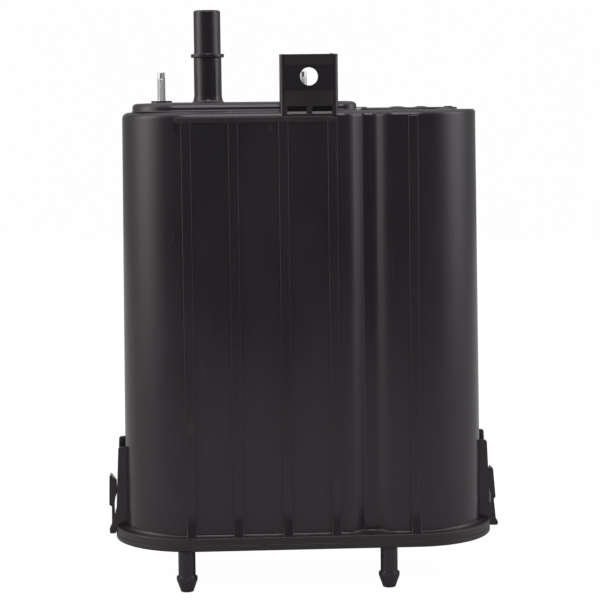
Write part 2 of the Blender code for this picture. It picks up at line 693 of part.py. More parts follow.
def bottom_cover():
    cover = upright("bottom_cover", stadium_plan(COVER_END_RADIUS), 0.0, COVER_THICKNESS)
    for x in POST_XS:
        add(cover, post(x))
    for place in large_spring_places() + small_spring_places():
        add(cover, peg(place, COVER_THICKNESS / 2, COVER_THICKNESS + PEG_HEIGHT))
    return finish(cover, NYLON)


def inside(plan, x, y):
    """Whether a point lies within a closed outline."""
    crossings = 0
    for (x0, y0), (x1, y1) in zip(plan, plan[1:] + plan[:1]):
        if (y0 > y) != (y1 > y) and x < x0 + (y - y0) * (x1 - x0) / (y1 - y0):
            crossings += 1
    return crossings % 2 == 1


def slots(plan, low, high):
    """Rows of slots that fit within an outline, as one mesh."""
    left = min(x for x, y in plan)
    right = max(x for x, y in plan)
    count = int((right - left) / SLOT_PITCH_X)
    middle = (left + right) / 2
    limits = []
    for column in range(count):
        x = middle + (column - (count - 1) / 2) * SLOT_PITCH_X
        for row in (-1, 0, 1):
            y = row * SLOT_PITCH_Y
            reach_x = SLOT_WIDTH / 2
            reach_y = SLOT_LENGTH / 2
            corners = [(x + a * (reach_x + SLOT_MARGIN), y + b * (reach_y + SLOT_MARGIN))
                       for a in (-1, 1) for b in (-1, 1)]
            if all(inside(plan, *corner) for corner in corners):
                limits.append((x - reach_x, x + reach_x, y - reach_y, y + reach_y, low - CUT, high + CUT))
    return boxes("slots", limits)


def fitted(name, plan, low, high):
    """A block that fills a chamber's outline between two levels, with the free gap all round."""
    return loft(name, [at_height(plan(low, GAP), low), at_height(plan(high, GAP), high)])


def slotted_plate(name, plan, low):
    high = low + PLATE_THICKNESS
    plate = fitted(name, plan, low, high)
    return cut(plate, slots(plan(high, GAP), low, high))


def pressure_plate(name, plan, places):
    """Slotted plate that the springs push up against the lower filter."""
    plate = slotted_plate(name, plan, PLATE_Z)
    for place in places:
        add(plate, peg(place, PLATE_Z + PLATE_THICKNESS / 2, PLATE_Z - PEG_HEIGHT))
    return finish(plate, GREY_PLASTIC)


def top_grid(name, plan, leg_xs):
    """Slotted grid that stands off the roof on legs and holds the upper filter down."""
    grid = slotted_plate(name, plan, GRID_Z)
    half = GRID_LEG_SIZE / 2
    for x in leg_xs:
        past_centre = max(abs(x) + half - END_CENTRE_X, 0.0)
        leg_y = math.sqrt((wall_radius(ROOF_Z) - WALL) ** 2 - past_centre ** 2) - GRID_LEG_SETBACK
        for y in (-leg_y, leg_y):
            add(grid, box("leg", x - half, x + half, y - half, y + half,
                          GRID_Z + PLATE_THICKNESS / 2, ROOF_Z - GAP))
    return finish(grid, GREY_PLASTIC)


def spring(name, place):
    """Compression spring with its axis along Z."""
    radius = SPRING_RADIUS - SPRING_WIRE_RADIUS
    low = SEAM_Z + SPRING_WIRE_RADIUS
    rise = SPRING_HEIGHT - 2 * SPRING_WIRE_RADIUS
    steps = int(SPRING_TURNS * COIL_STEPS_PER_TURN)
    rings = []
    for step in range(steps + 1):
        turn = 2 * math.pi * SPRING_TURNS * step / steps
        ring = []
        for out, up in arc((radius, low + rise * step / steps), SPRING_WIRE_RADIUS, 0, 360, COIL_SIDES)[:-1]:
            ring.append((place[0] + out * math.cos(turn), place[1] + out * math.sin(turn), up))
        rings.append(ring)
    return finish(loft(name, rings), SPRING_STEEL)


def stud(name, x):
    """Zinc plated stud with a plain nose."""
    top = PLATFORM_Z + STUD_BOSS_RISE + STUD_LENGTH_OUTSIDE
    bevel = STUD_RADIUS - STUD_NOSE_RADIUS
    profile = [(STUD_RADIUS, PLATFORM_Z + STUD_BOSS_RISE - STUD_LENGTH_INSIDE)]
    profile += [(STUD_RADIUS, top - STUD_NOSE_LENGTH - bevel), (STUD_NOSE_RADIUS, top - STUD_NOSE_LENGTH)]
    profile += [(STUD_NOSE_RADIUS, top - bevel), (STUD_NOSE_RADIUS - bevel, top)]
    return finish(turned(name, (x, 0), profile, STUD_SIDES), ZINC)


def chamber_contents(prefix, plan, places, leg_xs):
    """Springs, plate, filters, carbon and grid of one chamber."""
    for number, place in enumerate(places, start=1):
        spring(f"{prefix}_spring_{number}", place)
    pressure_plate(f"{prefix}_pressure_plate", plan, places)
    finish(fitted(f"{prefix}_lower_filter", plan, LOWER_FILTER_Z, LOWER_FILTER_Z + FILTER_THICKNESS), FELT)
    finish(fitted(f"{prefix}_carbon_bed", plan, BED_Z, BED_TOP_Z), CARBON)
    finish(fitted(f"{prefix}_upper_filter", plan, UPPER_FILTER_Z, UPPER_FILTER_Z + FILTER_THICKNESS), FELT)
    top_grid(f"{prefix}_top_grid", plan, leg_xs)


def main():
    clear_scene()
    canister_body()
    bottom_cover()
    for name, x in STUD_XS.items():
        stud(name, x)
    chamber_contents("main", large_space_plan, large_spring_places(), GRID_LEG_XS)
    chamber_contents("vent", small_space_plan, small_spring_places(), VENT_GRID_LEG_XS)


main()
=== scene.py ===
# %% [markdown]
# # A charcoal canister for a fuel vapour system
# The real thing is a black nylon housing with two carbon chambers, closed by a welded cover. This lesson
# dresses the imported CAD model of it: every outer piece is modelled again with finer curves and small
# fillets, because light on dark plastic shows its shape mostly through the highlights on round edges.

# %% Load the CAD model as the frame
import math

import bmesh
import bpy
from mathutils import Matrix, Vector, noise


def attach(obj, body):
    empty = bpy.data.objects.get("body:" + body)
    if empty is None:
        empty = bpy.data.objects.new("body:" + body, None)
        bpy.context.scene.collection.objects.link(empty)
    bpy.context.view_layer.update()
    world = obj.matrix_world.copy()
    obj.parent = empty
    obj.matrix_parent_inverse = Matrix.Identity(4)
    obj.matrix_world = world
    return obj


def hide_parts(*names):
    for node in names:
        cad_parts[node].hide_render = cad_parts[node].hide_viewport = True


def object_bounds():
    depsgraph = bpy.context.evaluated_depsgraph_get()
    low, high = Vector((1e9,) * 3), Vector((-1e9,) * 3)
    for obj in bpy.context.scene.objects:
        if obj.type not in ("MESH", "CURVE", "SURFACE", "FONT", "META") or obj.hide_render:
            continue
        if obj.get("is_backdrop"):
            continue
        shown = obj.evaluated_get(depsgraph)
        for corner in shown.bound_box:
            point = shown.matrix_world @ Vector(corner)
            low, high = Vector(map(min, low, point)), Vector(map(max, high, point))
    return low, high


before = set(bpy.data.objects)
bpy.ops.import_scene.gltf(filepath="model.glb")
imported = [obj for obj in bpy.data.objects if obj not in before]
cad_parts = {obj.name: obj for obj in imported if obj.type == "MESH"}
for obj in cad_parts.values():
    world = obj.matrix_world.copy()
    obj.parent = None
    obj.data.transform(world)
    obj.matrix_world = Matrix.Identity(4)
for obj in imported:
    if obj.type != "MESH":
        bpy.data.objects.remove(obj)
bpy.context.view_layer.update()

print("CAD nodes:", len(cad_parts))

# %% [markdown]
# ## Sizes
# These are the sizes of the CAD model, in metres, with the small radii that only the dressed model has.
# Keeping them in one place means that a fillet is changed once and every ring of the shape follows.

# %% Sizes of housing, flange and cover
END_X = 0.0652
COVER_RADIUS = 0.0476
FOOT_RADIUS = 0.0418
DRAFT = 0.0098
WALL = 0.0028
COVER_TOP_Z = 0.0030
SEAM_Z = 0.0033
FLANGE_Z = 0.0078
SHOULDER_Z = 0.2536
SHOULDER_ROUND = 0.0038
RIGHT_SHOULDER_ROUND = 0.0019
PLATFORM_Z = 0.2587
ROOF_Z = SHOULDER_Z - WALL
SUNK = 0.0006
TINY = 0.000001
ARC_STEP = 2.5


def wall_radius(z):
    """Half depth of the housing at a height. The walls lean in upwards, to leave their mould."""
    return FOOT_RADIUS - DRAFT * (z - FLANGE_Z)


print("Housing half depth at foot and shoulder:", FOOT_RADIUS, round(wall_radius(SHOULDER_Z), 4))

# %% [markdown]
# ## Drawing tools
# An outline is drawn as a pen would draw it: the last vertex is extruded for a straight line, and spun
# about a centre for an arc, so arcs meet lines exactly at their tangents. Rings drawn at several heights are
# joined with bridge_loops. Each solid is made in a bmesh of its own, which keeps the choice of edges for a
# bevel simple, and is then poured into the bmesh of its piece.

# %% Helpers that draw outlines
PLANES = {
    "XY": Matrix.Identity(3),
    "XZ": Matrix(((1, 0, 0), (0, 0, -1), (0, 1, 0))),
    "YZ": Matrix(((0, 0, 1), (1, 0, 0), (0, 1, 0))),
}


def draw(part, start, path, arc_step=ARC_STEP):
    """Draws a line in the XY plane. A step is a point to go to, or a centre and degrees to turn about it."""
    before = set(part.edges)
    tip = part.verts.new((*start, 0.0))
    for step in path:
        if isinstance(step[0], tuple):
            centre, degrees = step
            count = max(2, math.ceil(abs(degrees) / arc_step))
            made = bmesh.ops.spin(part, geom=[tip], cent=(*centre, 0.0), axis=(0.0, 0.0, 1.0),
                                  dvec=(0.0, 0.0, 0.0), angle=math.radians(degrees), steps=count,
                                  use_merge=False, use_duplicate=False)
            tip = next(v for v in made["geom_last"] if isinstance(v, bmesh.types.BMVert))
        else:
            tip = bmesh.ops.extrude_vert_indiv(part, verts=[tip])["verts"][0]
            tip.co = (*step, 0.0)
    return [edge for edge in part.edges if edge not in before]


def corners_of(edges):
    return list(dict.fromkeys(vert for edge in edges for vert in edge.verts))


def verts_in(made):
    """The vertices among what an operator made."""
    return [item for item in made["geom"] if isinstance(item, bmesh.types.BMVert)]


def closed(part, edges):
    """Closes a drawn line into a ring, and returns the ring's edges."""
    ends = [v for v in corners_of(edges) if len(v.link_edges) == 1]
    if len(ends) == 2:
        if (ends[0].co - ends[1].co).length < TINY:
            bmesh.ops.pointmerge(part, verts=ends, merge_co=ends[0].co)
            return [e for e in edges if e.is_valid]
        edges = edges + bmesh.ops.contextual_create(part, geom=ends)["edges"]
    return edges


def mirrored(part, edges, z):
    """Completes a front line, given from left end to right end, with the same line at the back, at height z."""
    before = set(part.edges) - set(edges)
    bmesh.ops.mirror(part, geom=corners_of(edges) + edges, matrix=Matrix.Identity(4), merge_dist=TINY, axis='Y')
    ring = [edge for edge in part.edges if edge not in before]
    bmesh.ops.translate(part, verts=corners_of(ring), vec=(0.0, 0.0, z))
    return ring


print("Drawing planes:", ", ".join(PLANES))

# %% Helpers that make solids
def loft(part, rings, cap_low=True, cap_high=True):
    """Joins rings of equal length into a skin, with a flat face at either end if wanted."""
    for low, high in zip(rings, rings[1:]):
        bmesh.ops.bridge_loops(part, edges=low + high)
    for ring, wanted in ((rings[0], cap_low), (rings[-1], cap_high)):
        if wanted:
            bmesh.ops.contextual_create(part, geom=ring)


def soften(part, radius, segments=2, angle=30.0, keep=None):
    """Rounds the edges that turn more than an angle, or those of them that keep() accepts."""
    bmesh.ops.recalc_face_normals(part, faces=part.faces)
    sharp = [e for e in part.edges if len(e.link_faces) == 2 and e.calc_face_angle(0.0) > math.radians(angle)]
    if keep:
        sharp = [e for e in sharp if keep(e)]
    bmesh.ops.bevel(part, geom=sharp, offset=radius, offset_type='OFFSET', segments=segments, profile=0.5,
                    affect='EDGES', clamp_overlap=True, material=-1)


def pour(part, piece, finish=0):
    """Adds a finished solid to a piece, with its faces turned outwards and one of the piece's finishes."""
    bmesh.ops.remove_doubles(part, verts=part.verts, dist=TINY)
    bmesh.ops.recalc_face_normals(part, faces=part.faces)
    for face in part.faces:
        face.material_index = max(face.material_index, finish)
    mesh = bpy.data.meshes.new("part")
    part.to_mesh(mesh)
    part.free()
    piece.from_mesh(mesh)
    bpy.data.meshes.remove(mesh)


def thicken(part, faces, vec):
    """Moves a copy of the faces by vec, and joins the two with walls."""
    made = bmesh.ops.extrude_face_region(part, geom=faces, use_keep_orig=True)
    bmesh.ops.translate(part, verts=verts_in(made), vec=vec)


def slab(piece, plane, start, path, low, high, radius=0.0, segments=2, finish=0):
    """Extrudes an outline across its plane from low to high, and rounds its edges."""
    part = bmesh.new()
    ring = closed(part, draw(part, start, path, arc_step=9.0))
    bmesh.ops.contextual_create(part, geom=ring)
    bmesh.ops.translate(part, verts=part.verts, vec=(0.0, 0.0, low))
    thicken(part, list(part.faces), (0.0, 0.0, high - low))
    if plane == "XZ":
        bmesh.ops.scale(part, verts=part.verts, vec=(1.0, 1.0, -1.0))
    bmesh.ops.transform(part, verts=part.verts, matrix=PLANES[plane].to_4x4())
    if radius:
        soften(part, radius, segments)
    pour(part, piece, finish)


def spun(profile, steps):
    """A solid made by spinning a profile of (radius, height) about the Z axis."""
    part = bmesh.new()
    edges = draw(part, profile[0], profile[1:], arc_step=15.0)
    bmesh.ops.transform(part, verts=part.verts, matrix=PLANES["XZ"].to_4x4())
    bmesh.ops.spin(part, geom=corners_of(edges) + edges, cent=(0.0, 0.0, 0.0), axis=(0.0, 0.0, 1.0),
                   dvec=(0.0, 0.0, 0.0), angle=math.tau, steps=steps, use_merge=True, use_duplicate=False)
    return part


def turned(piece, place, profile, steps=64, direction="up", finish=0):
    """Spins a profile and stands it at a place, upright or along +Y."""
    part = spun(profile, steps)
    if direction == "back":
        quarter_turn = Matrix.Rotation(-math.pi / 2, 3, 'X')
        bmesh.ops.rotate(part, verts=part.verts, cent=(0.0, 0.0, 0.0), matrix=quarter_turn)
    bmesh.ops.translate(part, verts=part.verts, vec=place)
    pour(part, piece, finish)


def rounding(size, steps):
    """Inset and drop of each ring of a rounded upper edge, from the wall to the top."""
    turns = [math.pi / 2 * k / steps for k in range(steps + 1)]
    return [(size * (1 - math.cos(t)), size * (1 - math.sin(t))) for t in turns]


print("Rings in a rounded edge of 8 steps:", len(rounding(SHOULDER_ROUND, 8)))

# %% [markdown]
# ## Finish helpers
# A piece becomes an object at the origin, with its place in its mesh. Weighted normals keep the long flat
# walls flat in the light, because a large face counts for more than the narrow fillet faces beside it.

# %% Turn a bmesh into a piece
made_pieces = []


def placed(name, data):
    """A new object in the scene."""
    made = bpy.data.objects.new(name, data)
    bpy.context.scene.collection.objects.link(made)
    return made


def finished(piece, name, materials, slot, *replaced):
    """Turns a piece's bmesh into an object that rides on the root body and replaces CAD nodes."""
    mesh = bpy.data.meshes.new(name)
    piece.to_mesh(mesh)
    piece.free()
    mesh.shade_smooth()
    mesh.set_sharp_from_angle(angle=math.radians(38))
    solid = placed(name, mesh)
    for material in materials:
        mesh.materials.append(material)
    weighted = solid.modifiers.new("weighted_normals", 'WEIGHTED_NORMAL')
    weighted.keep_sharp = True
    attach(solid, "root")
    if replaced:
        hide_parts(*replaced)
    made_pieces.append(solid)
    print(name, "faces:", len(mesh.polygons))
    return solid


# %% [markdown]
# ## Surface effects as node groups
# Moulded nylon is never one flat black. Glass fibre lies near its skin and gives a fine grain, handling
# leaves short scratches, and pale dust settles in specks. Each effect is one node group, so that every
# material can use it with its own strength. A group gives only masks and heights, and the shader itself
# stays in the material.

# %% Node helpers
def new_group(name, inputs, outputs):
    """A shader node group with named number inputs and outputs, and Object coordinates ready in it."""
    tree = bpy.data.node_groups.new(name, 'ShaderNodeTree')
    for label, value in inputs:
        socket = tree.interface.new_socket(name=label, in_out='INPUT', socket_type='NodeSocketFloat')
        socket.default_value = value
    for label in outputs:
        tree.interface.new_socket(name=label, in_out='OUTPUT', socket_type='NodeSocketFloat')
    return tree, tree.nodes.new('NodeGroupInput'), tree.nodes.new('NodeGroupOutput')


def node(tree, kind, settings=None, **values):
    """Adds a node, sets its options, and fills inputs with numbers or links them to sockets."""
    made = tree.nodes.new(kind)
    for key, value in (settings or {}).items():
        setattr(made, key, value)
    for key, value in values.items():
        label = key.replace("_", " ")
        socket = made.inputs[int(label[1:])] if label[0] == "n" and label[1:].isdigit() else made.inputs[label]
        if isinstance(value, bpy.types.NodeSocket):
            tree.links.new(value, socket)
        else:
            socket.default_value = value
    return made


def maths(tree, operation, first, second=0.0, clamp=False):
    settings = {"operation": operation, "use_clamp": clamp}
    return node(tree, 'ShaderNodeMath', settings, n0=first, n1=second).outputs[0]


def times(tree, first, second, clamp=False):
    return maths(tree, 'MULTIPLY', first, second, clamp)


def plus(tree, first, second, clamp=False):
    return maths(tree, 'ADD', first, second, clamp)


def ramp(tree, value, low, high, shape='SMOOTHSTEP'):
    """Goes from 0 at low to 1 at high."""
    made = node(tree, 'ShaderNodeMapRange', {"interpolation_type": shape}, Value=value)
    made.inputs["From Min"].default_value = low
    made.inputs["From Max"].default_value = high
    return made.outputs["Result"]


def object_noise(tree, scale, detail=3.0, roughness=0.55, stretch=(1.0, 1.0, 1.0), turn=(0.0, 0.0, 0.0)):
    """Noise over the piece's own coordinates, which may be stretched and turned."""
    place = node(tree, 'ShaderNodeTexCoord').outputs["Object"]
    mapped = node(tree, 'ShaderNodeMapping', Vector=place, Scale=stretch, Rotation=turn).outputs["Vector"]
    made = node(tree, 'ShaderNodeTexNoise', Vector=mapped, Scale=scale, Detail=detail, Roughness=roughness)
    return made.outputs["Fac"]


print("Node helpers ready")

# %% Groups for grain, scratches and dust
grain, inputs, outputs = new_group("moulded_grain", [("Fine", 1.0), ("Broad", 1.0)], ["Height", "Patch"])
fine = object_noise(grain, 2600.0, 2.0)
pits = object_noise(grain, 900.0, 3.0, 0.6)
broad = object_noise(grain, 26.0, 3.0, 0.5, (1.0, 1.0, 0.35))
height = times(grain, plus(grain, fine, pits), inputs.outputs["Fine"])
height = plus(grain, height, times(grain, broad, inputs.outputs["Broad"]))
grain.links.new(height, outputs.inputs["Height"])
grain.links.new(broad, outputs.inputs["Patch"])

scratches, inputs, outputs = new_group("handling_scratches", [("Amount", 0.5)], ["Mask"])
lines = []
for turn, scale in (((0.3, 0.2, 0.5), 60.0), ((1.2, 0.7, -0.4), 75.0), ((-0.8, 1.4, 0.9), 90.0)):
    streak = object_noise(scratches, scale, 1.0, 0.4, (1.0, 1.0, 0.06), turn)
    gate = ramp(scratches, object_noise(scratches, 38.0, 2.0, 0.5, (1.0, 1.0, 1.0), turn), 0.56, 0.66)
    thin = maths(scratches, 'SUBTRACT', streak, 0.5)
    thin = maths(scratches, 'SUBTRACT', 1.0, ramp(scratches, maths(scratches, 'ABSOLUTE', thin), 0.0, 0.004))
    lines.append(times(scratches, thin, gate))
mask = maths(scratches, 'MAXIMUM', lines[0], maths(scratches, 'MAXIMUM', lines[1], lines[2]))
mask = times(scratches, mask, inputs.outputs["Amount"], clamp=True)
scratches.links.new(mask, outputs.inputs["Mask"])

dust, inputs, outputs = new_group("dust_specks", [("Amount", 0.5), ("Scale", 620.0)], ["Mask"])
place = node(dust, 'ShaderNodeTexCoord').outputs["Object"]
cells = node(dust, 'ShaderNodeTexVoronoi', Vector=place, Scale=inputs.outputs["Scale"])
near = maths(dust, 'SUBTRACT', 1.0, ramp(dust, cells.outputs["Distance"], 0.06, 0.16))
chance = node(dust, 'ShaderNodeSeparateColor', Color=cells.outputs["Color"])
rare = ramp(dust, chance.outputs["Red"], 0.84, 0.94)
specks = times(dust, times(dust, near, rare), inputs.outputs["Amount"], clamp=True)
dust.links.new(specks, outputs.inputs["Mask"])
print("Groups:", [group.name for group in bpy.data.node_groups])

# %% [markdown]
# ## Materials
# Black nylon straight from the mould is satin: its reflections are soft, slightly uneven, and a little
# cooler where the glass fibre shows. The tube of the port comes from a polished part of the mould, so it
# is smoother. The flange is duller where it was melted and squeezed in welding.

# %% The black nylon materials
def use_group(tree, group, **values):
    made = tree.nodes.new('ShaderNodeGroup')
    made.node_tree = group
    for key, value in values.items():
        made.inputs[key].default_value = value
    return made


def new_material(name):
    """A material, its node tree and its shader."""
    material = bpy.data.materials.new(name)
    material.use_nodes = True
    return material, material.node_tree, material.node_tree.nodes["Principled BSDF"]


def blend(tree, factor, low, high):
    """Mixes two colours by a factor. Either can be a socket."""
    made = node(tree, 'ShaderNodeMix', {"data_type": 'RGBA'}, Factor=factor)
    for label, colour in (("A", low), ("B", high)):
        if isinstance(colour, bpy.types.NodeSocket):
            tree.links.new(colour, made.inputs[label])
        else:
            made.inputs[label].default_value = (*colour, 1.0)
    return made.outputs["Result"]


def dress(tree, shader, colour, rough, height, bump, distance=0.0001):
    """Links a colour, a roughness and a height, used as bump, to a shader."""
    tree.links.new(colour, shader.inputs["Base Color"])
    tree.links.new(rough, shader.inputs["Roughness"])
    relief = node(tree, 'ShaderNodeBump', Strength=bump, Distance=distance, Height=height)
    tree.links.new(relief.outputs["Normal"], shader.inputs["Normal"])


def nylon(name, colour, dusty, roughness, spread, fine, broad, bump, scratch, speck):
    """Moulded nylon with its own smoothness, grain and signs of handling."""
    material, tree, shader = new_material(name)
    shader.inputs["Specular IOR Level"].default_value = 0.5
    shader.inputs["Specular Tint"].default_value = (1.0, 0.90, 0.98, 1.0)
    surface = use_group(tree, grain, Fine=fine, Broad=broad)
    marks = use_group(tree, scratches, Amount=scratch)
    flecks = use_group(tree, dust, Amount=speck)
    worn = maths(tree, 'MAXIMUM', marks.outputs["Mask"], flecks.outputs["Mask"])
    patch = ramp(tree, surface.outputs["Patch"], 0.35, 0.65)
    tone = blend(tree, patch, colour, [c * 1.25 for c in colour])
    rough = plus(tree, times(tree, patch, spread), roughness)
    rough = plus(tree, rough, times(tree, worn, 0.15), clamp=True)
    dress(tree, shader, blend(tree, worn, tone, dusty), rough, surface.outputs["Height"], bump)
    return material


INK = (0.0125, 0.0116, 0.0132)
CHALK = (0.13, 0.12, 0.12)
housing_nylon = nylon("satin_black_nylon", INK, CHALK, 0.19, 0.05, 0.5, 0.6, 0.30, 0.10, 0.4)
port_nylon = nylon("smooth_black_nylon", INK, CHALK, 0.19, 0.03, 0.35, 0.2, 0.20, 0.08, 0.2)
edge_nylon = nylon("dull_black_nylon", (0.0135, 0.0123, 0.0135), CHALK, 0.36, 0.08, 0.9, 0.8, 0.6, 0.25, 0.5)
print("Nylon materials:", housing_nylon.name, port_nylon.name, edge_nylon.name)

# %% [markdown]
# ## The housing walls
# The plan has two half round ends and a valley on each long side, where the large and the small chamber
# meet. Its flanks slope a little less than in the CAD model, since the soft bands of light in the real
# valley fit a gentle slope. One front line is drawn and mirrored to the back. Rings at several heights, each
# a little further in, give the draft, the flare where wall meets flange, and the round shoulder.

# %% The plan of the housing
VALLEY_LEFT_X = 0.0234
VALLEY_LEFT_RADIUS = 0.0110
VALLEY_LEFT_CREASE = 0.0050
VALLEY_RIGHT_X = 0.0547
VALLEY_RIGHT_RADIUS = 0.0165
VALLEY_RIGHT_CREASE = 0.0080
VALLEY_SLOPE = 36.0
VALLEY_DEPTH = 0.0058


def valley_side(radius, inset, side, sharp=False):
    """Points and radii of one side of the valley (-1 left, 1 right), from the long face down to the floor."""
    corner_x, corner_radius, crease = ((VALLEY_LEFT_X, VALLEY_LEFT_RADIUS, VALLEY_LEFT_CREASE) if side < 0 else
                                       (VALLEY_RIGHT_X, VALLEY_RIGHT_RADIUS, VALLEY_RIGHT_CREASE))
    if sharp:
        crease = 0.0
    turn = math.radians(VALLEY_SLOPE)
    centre = (corner_x, corner_radius - radius)
    corner_end = (centre[0] - side * (corner_radius - inset) * math.sin(turn),
                  centre[1] - (corner_radius - inset) * math.cos(turn))
    floor_y = VALLEY_DEPTH - radius + inset
    fillet_y = floor_y - crease * (1.0 - math.cos(turn))
    fillet_x = corner_end[0] - side * (fillet_y - corner_end[1]) / math.tan(turn)
    fillet_centre = (fillet_x - side * crease * math.sin(turn), floor_y - crease)
    return centre, corner_end, (fillet_x, fillet_y), fillet_centre, crease


def housing_line(radius, inset):
    """Front line of the housing for a half depth, drawn further in by an inset."""
    centre, corner_end, fillet_start, fillet_centre, crease = valley_side(radius, inset, -1)
    path = [((-END_X, 0.0), 90.0), (VALLEY_LEFT_X, inset - radius), (centre, VALLEY_SLOPE), fillet_start]
    path += [(fillet_centre, -VALLEY_SLOPE)]
    centre, corner_end, fillet_start, fillet_centre, crease = valley_side(radius, inset, 1)
    path += [(fillet_centre[0], fillet_centre[1] + crease), (fillet_centre, -VALLEY_SLOPE), corner_end]
    path += [(centre, VALLEY_SLOPE)]
    path += [(END_X, inset - radius), ((END_X, 0.0), 90.0)]
    return (-END_X - radius + inset, 0.0), path


def housing_ring(part, z, inset):
    start, path = housing_line(wall_radius(z), inset)
    return mirrored(part, draw(part, start, path), z)


def tighten_right_end(ring, inset, drop):
    """Makes the shoulder round smaller towards the right end, where the real one is sharper."""
    share = 1.0 - RIGHT_SHOULDER_ROUND / SHOULDER_ROUND
    for vert in corners_of(ring):
        out = Vector((vert.co.x - END_X, vert.co.y))
        if out.x > 0.0:
            weight = (out.x / out.length) ** 2 * share
            vert.co.x += out.x / out.length * inset * weight
            vert.co.y += out.y / out.length * inset * weight
            vert.co.z += drop * weight


# %% Walls, shoulder and hollow
FOOT_FLARE = 0.0013


PARTITION_X = sum(valley_side(wall_radius(SHOULDER_Z), 0.0, side, True)[2][0] for side in (-1, 1)) / 2


def chamber_line(side, z, inset):
    """Front line inside one chamber, up to the partition between the two."""
    radius = wall_radius(z)
    floor_y = VALLEY_DEPTH - radius + inset
    partition = PARTITION_X + (WALL / 2 if side == "small" else -WALL / 2)
    if side == "large":
        centre, corner_end, crease, _, _ = valley_side(radius, inset, -1, True)
        path = [((-END_X, 0.0), 90.0), (VALLEY_LEFT_X, inset - radius), (centre, VALLEY_SLOPE), crease]
        return (-END_X - radius + inset, 0.0), path + [(partition, floor_y), (partition, 0.0)]
    centre, corner_end, crease, _, _ = valley_side(radius, inset, 1, True)
    path = [(partition, floor_y), crease, corner_end, (centre, VALLEY_SLOPE), (END_X, inset - radius)]
    return (partition, 0.0), path + [((END_X, 0.0), 90.0)]


def fill_round_holes(part, outer, holes):
    """A flat face between an outer ring and the rings of the holes in it."""
    bmesh.ops.triangle_fill(part, edges=outer + [e for ring in holes for e in ring], use_beauty=True,
                            use_dissolve=False)


def chamber_rings(part, z):
    """The inside lines of both chambers at a height."""
    lines = [chamber_line(side, z, WALL) for side in ("large", "small")]
    return [mirrored(part, draw(part, start, path, arc_step=7.5), z) for start, path in lines]


housing = bmesh.new()
walls = bmesh.new()
wall_low_z = FLANGE_Z - SUNK / 10
rings = [housing_ring(walls, wall_low_z + rise, -outset) for rise, outset in rounding(FOOT_FLARE, 6)]
for inset, drop in rounding(SHOULDER_ROUND, 9):
    ring = housing_ring(walls, SHOULDER_Z - drop, inset)
    tighten_right_end(ring, inset, drop)
    rings.append(ring)
loft(walls, rings, cap_low=False)
hollow_low = chamber_rings(walls, wall_low_z)
for low, high in zip(hollow_low, chamber_rings(walls, ROOF_Z)):
    loft(walls, [low, high], cap_low=False)
fill_round_holes(walls, rings[0], hollow_low)
pour(walls, housing)
print("Housing walls:", len(housing.faces), "faces")

# %% [markdown]
# ## Flange and weld
# The cover is hot plate welded to the flange: both faces are melted and pressed together. What squeezes out
# stays as an uneven bead, at the seam and at the foot of the wall. The beads are rings whose vertices are
# moved a little by noise, since no operator gives such a chance shape.

# %% Flange with its weld beads
def stadium_ring(part, z, radius):
    start = (-END_X - radius, 0.0)
    path = [((-END_X, 0.0), 90.0), (END_X, -radius), ((END_X, 0.0), 90.0)]
    return mirrored(part, draw(part, start, path, arc_step=2.0), z)


def rounded_plate_rings(part, ring, low, high, radius, low_round, high_round, steps=3):
    """Rings of a flat plate with rounded lower and upper edges; ring(part, z, radius) draws one of them."""
    rings = [ring(part, low + drop, radius - inset) for inset, drop in reversed(rounding(low_round, steps))]
    return rings + [ring(part, high - drop, radius - inset) for inset, drop in rounding(high_round, steps)]


flange = bmesh.new()
rings = rounded_plate_rings(flange, stadium_ring, SEAM_Z, FLANGE_Z, COVER_RADIUS, 0.0003, 0.0006)
loft(flange, rings, cap_low=False, cap_high=False)
through_low = chamber_rings(flange, SEAM_Z)
through_high = chamber_rings(flange, FLANGE_Z)
for low, high in zip(through_low, through_high):
    bmesh.ops.bridge_loops(flange, edges=low + high)
fill_round_holes(flange, rings[0], through_low)
fill_round_holes(flange, rings[-1], through_high)
pour(flange, housing, 2)


def bead(piece, ring, z, radius, thickness, height, wobble, wave):
    """An uneven bead that follows an outline. ring(part, z, radius) draws the outline."""
    part = bmesh.new()
    rings = []
    for k in range(8):
        turn = math.tau * k / 8
        rings.append(ring(part, z + height * math.sin(turn), radius + thickness * math.cos(turn)))
    loft(part, rings + [rings[0]], cap_low=False, cap_high=False)
    bmesh.ops.subdivide_edges(part, edges=[e for e in part.edges if e.calc_length() > 0.002], cuts=70)
    for vert in part.verts:
        push = noise.noise_vector(vert.co * wave)
        vert.co += Vector((push.x, push.y, push.z)) * wobble
    pour(part, piece, 2)


def foot_ring(part, z, outset):
    start, path = housing_line(wall_radius(FLANGE_Z), -outset)
    return mirrored(part, draw(part, start, path, arc_step=3.0), z)


bead(housing, foot_ring, FLANGE_Z + 0.0001, 0.0013, 0.0004, 0.00032, 0.00022, 420.0)
bead(housing, stadium_ring, SEAM_Z + 0.00002, COVER_RADIUS - 0.0003, 0.0004, 0.00022, 0.00016, 520.0)
print("With flange and beads:", len(housing.faces), "faces")

# %% [markdown]
# ## Ribs and band
# Ribs stiffen the wide walls against the vacuum in the canister. They stand out only half a millimetre, so
# what shows of them is the thin highlight along their rounded edges: the bevel matters more than the rib.

# %% Ribs, band and witness lines
RIB_XS = (-0.0670, -0.0400, -0.0111, 0.0171, 0.0636)
RIB_WIDTH = 0.0058
BAND_LEFT_X = -0.0733
BAND_RIGHT_X = 0.0180
BAND_HIGH_Z = 0.2504
BAND_LOW_Z = 0.2470
KNEE_Z = 0.0220


